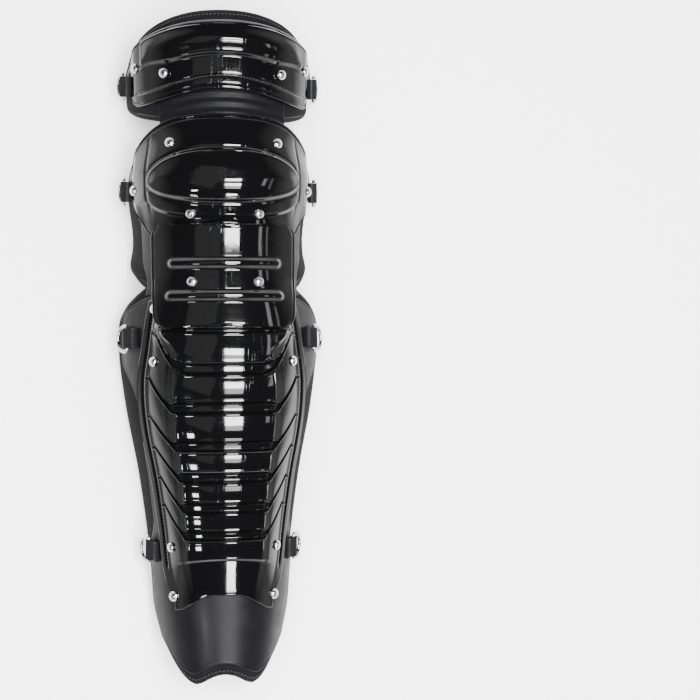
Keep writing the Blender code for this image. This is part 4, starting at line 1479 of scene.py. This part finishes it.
def tab_line():
    """Side view of the webbing as (away, out): flat, half a circle round the bar, then down."""
    bend = np.linspace(-math.pi / 2, math.pi / 2, 15)
    loop = np.stack([LOOP_RADIUS * np.cos(bend), BAR_HEIGHT + LOOP_RADIUS * np.sin(bend)], axis=1)
    crest = BAR_HEIGHT + LOOP_RADIUS
    fall = np.linspace(0, 1, 9)[1:]
    top = np.stack([
        -0.6 * TAB_LENGTH * fall, crest + (TAB_HIGH - crest) * smooth_step(fall, 0.0, 1.0),
    ], axis=1)
    start = [(-TAB_LENGTH, TAB_LOW), (-0.5 * TAB_LENGTH, TAB_LOW)]
    line = np.concatenate([start, loop, top, [(-TAB_LENGTH, TAB_HIGH)]]) - (0, BAR_HEIGHT)
    return resample(line, 0.0006)[0]


def fold_tab(name, place, away, bar, out):
    """The tab's line, thickened along its normal and widened along the bar, and its two rows."""
    line = tab_line()
    slope = unit(np.gradient(line, axis=0))
    normal = np.stack([slope[:, 1], -slope[:, 0]], axis=1)
    widths = WEBBING_EDGE[:, 0] * WEBBING_WIDTH / 2
    thick = WEBBING_EDGE[None, :, 1:] * WEBBING_WALL * normal[:, None, :]
    sheets = []
    for flat in (line[:, None, :] + thick, line[:, None, :] - thick):
        sheets.append(place + flat[..., :1] * away + flat[..., 1:] * out + widths[None, :, None] * bar)
    uv = np.stack(np.meshgrid(widths, run_along(line)), axis=-1)
    tab = wall(name + "_webbing", sheets[0], sheets[1], uv, [webbing])
    put(face_out(tab), "guard", [name])
    across = np.linspace(-0.42, 0.42, 30)[:, None] * WEBBING_WIDTH * bar
    top = place + (TAB_HIGH + 0.5 * WEBBING_WALL - BAR_HEIGHT) * out + across
    normals = np.repeat(out[None], len(top), axis=0)
    rows = [(top + share * TAB_LENGTH * away, normals) for share in (-0.78, -0.64)]
    sewn = stitches(name + "_stitches", rows, thread, 0.0024, 0.0017, 0.00028)
    put(sewn, "guard", [])


for name, side in CORNERS:
    ring = f"{name}_ring_{side}"
    axes = ring_axes(ring)
    bend_ring(ring, *axes)
    fold_tab(f"{name}_tab_{side}", *axes)

# %% [markdown]
# Glossy black shows almost nothing of itself, only what it mirrors, so the lights are placed for
# their reflections. Small bright windows give the short blocks of light on the crowned bands. Two
# large lights overhead light the floor and the cloth, and are hidden from reflections. The floor is
# hidden from them too, or its pale face would cover the world's low glow on the flanks.

# %% Floor and lights
FLOOR_HALF = 6.0
FLOOR_DROP = 0.0004
corners = np.array([(-1, -1), (1, -1), (1, 1), (-1, 1)]) * FLOOR_HALF
floor_points = np.column_stack([corners, np.full(4, -FLOOR_DROP)])
floor_finish = new_material("pale_floor", (0.93, 0.93, 0.93), 0.9)[0]
floor = make_mesh("floor", floor_points, [[0, 1, 2, 3]], None, [floor_finish])
floor.visible_glossy = False


def soft_light(name, place, target, size, power, glossy=True):
    """A rectangular light that faces its target."""
    data = bpy.data.lights.new(name, "AREA")
    data.shape = "RECTANGLE"
    data.size, data.size_y = size
    data.energy = power
    lamp = bpy.data.objects.new(name, data)
    bpy.context.scene.collection.objects.link(lamp)
    lamp.location = place
    aim = np.array(target, float) - np.array(place, float)
    pitch = math.atan2(math.hypot(aim[0], aim[1]), -aim[2])
    lamp.rotation_euler = (pitch, 0, math.atan2(aim[1], aim[0]) - math.pi / 2)
    lamp.visible_glossy = glossy
    return lamp


# Windows: x, y and z, size along the guard and across it, and watts; each faces straight inwards
WINDOWS = {
    "knee_window": (0.27, 0.225, 1.45, 0.23, 0.36, 20.2),
    "band_window": (0.27, -0.148, 1.45, 0.156, 0.36, 14.0),
    "low_band_window": (0.27, -0.293, 1.45, 0.134, 0.36, 2.2),
    "foot_window": (0.27, -0.97, 1.40, 0.30, 0.26, 17.0),
    "left_window": (-0.66, -0.49, 1.20, 0.12, 0.17, 4.4),
    "right_window": (0.95, 0.02, 1.00, 0.42, 0.10, 0.6),
    "right_pane": (1.14, -0.05, 0.86, 0.42, 0.07, 0.2),
}
for name, (x, y, z, along, across, power) in WINDOWS.items():
    soft_light(name, (x, y, z), (0, y, 0), (along, across), power)
soft_light("softbox", (-0.42, 0.25, 1.7), (0, 0.1, 0), (1.3, 0.85), 1.5)
soft_light("overhead", (0.0, 0.0, 2.4), (0, 0, 0), (2.4, 2.4), 150, glossy=False)
soft_light("wide_overhead", (0.0, 0.0, 4.0), (0, 0, 0), (9.0, 9.0), 700, glossy=False)
print(len(WINDOWS) + 3, "lights")

# %% [markdown]
# The world is what the plates mirror where no light stands. A picture of a studio could surround
# them, but nothing is imported here, so nodes work it out from the direction of the ray. It is dark
# overhead, and bright low down and towards the guard's ends, so the plates' tops stay black and
# their flanks turn grey. Soft noise breaks the glow up, as a real room does.

# %% World
world = bpy.data.worlds.new("studio")
bpy.context.scene.world = world
world.use_nodes = True
tree = world.node_tree
direction = add(tree, "ShaderNodeTexCoord").outputs["Generated"]
parts = add(tree, "ShaderNodeSeparateXYZ", None, Vector=direction).outputs
low_glow = remap(tree, parts["Z"], -0.42, -0.10, 1.0, 0.24)
end_glow = times(tree, math_node(tree, "POWER", math_node(tree, "ABSOLUTE", parts["Y"]), 3.0), 0.9)
below = remap(tree, parts["Z"], 0.10, 0.50, 1.0, 0.0)
glow = times(tree, below, math_node(tree, "MAXIMUM", low_glow, end_glow))
around = add(tree, "ShaderNodeMapping", None, Vector=direction, Scale=(1.0, 1.0, 0.15)).outputs[0]
patches = add(tree, "ShaderNodeTexNoise", None, Vector=around, Scale=3.2, Detail=1.0).outputs["Fac"]
glow = times(tree, glow, remap(tree, patches, 0.42, 0.60, 0.70, 1.0))
background = tree.nodes["Background"]
background.inputs["Color"].default_value = (1, 1, 1, 1)
drive(tree, background, Strength=math_node(tree, "ADD", times(tree, glow, 3.8), 0.012))
print("world:", len(tree.nodes), "nodes")

# %% [markdown]
# The photograph looks at the guard from the front, with the guard left of the middle. The camera is
# a plain one with no shift: it stands about 1.57 m off and turns a little, which frames it the same.

# %% Camera
camera = bpy.data.objects.new("camera", bpy.data.cameras.new("camera"))
bpy.context.scene.collection.objects.link(camera)
camera.data.lens = 87.8
camera.data.sensor_width = 36.0
camera.location = (-0.1095, 0.0045, 1.5662)
camera.rotation_euler = [math.radians(turn) for turn in (-0.143, -8.422, -0.353)]
camera.data.clip_start, camera.data.clip_end = 0.05, 40
bpy.context.scene.camera = camera
print("camera at", tuple(round(c, 4) for c in camera.location))
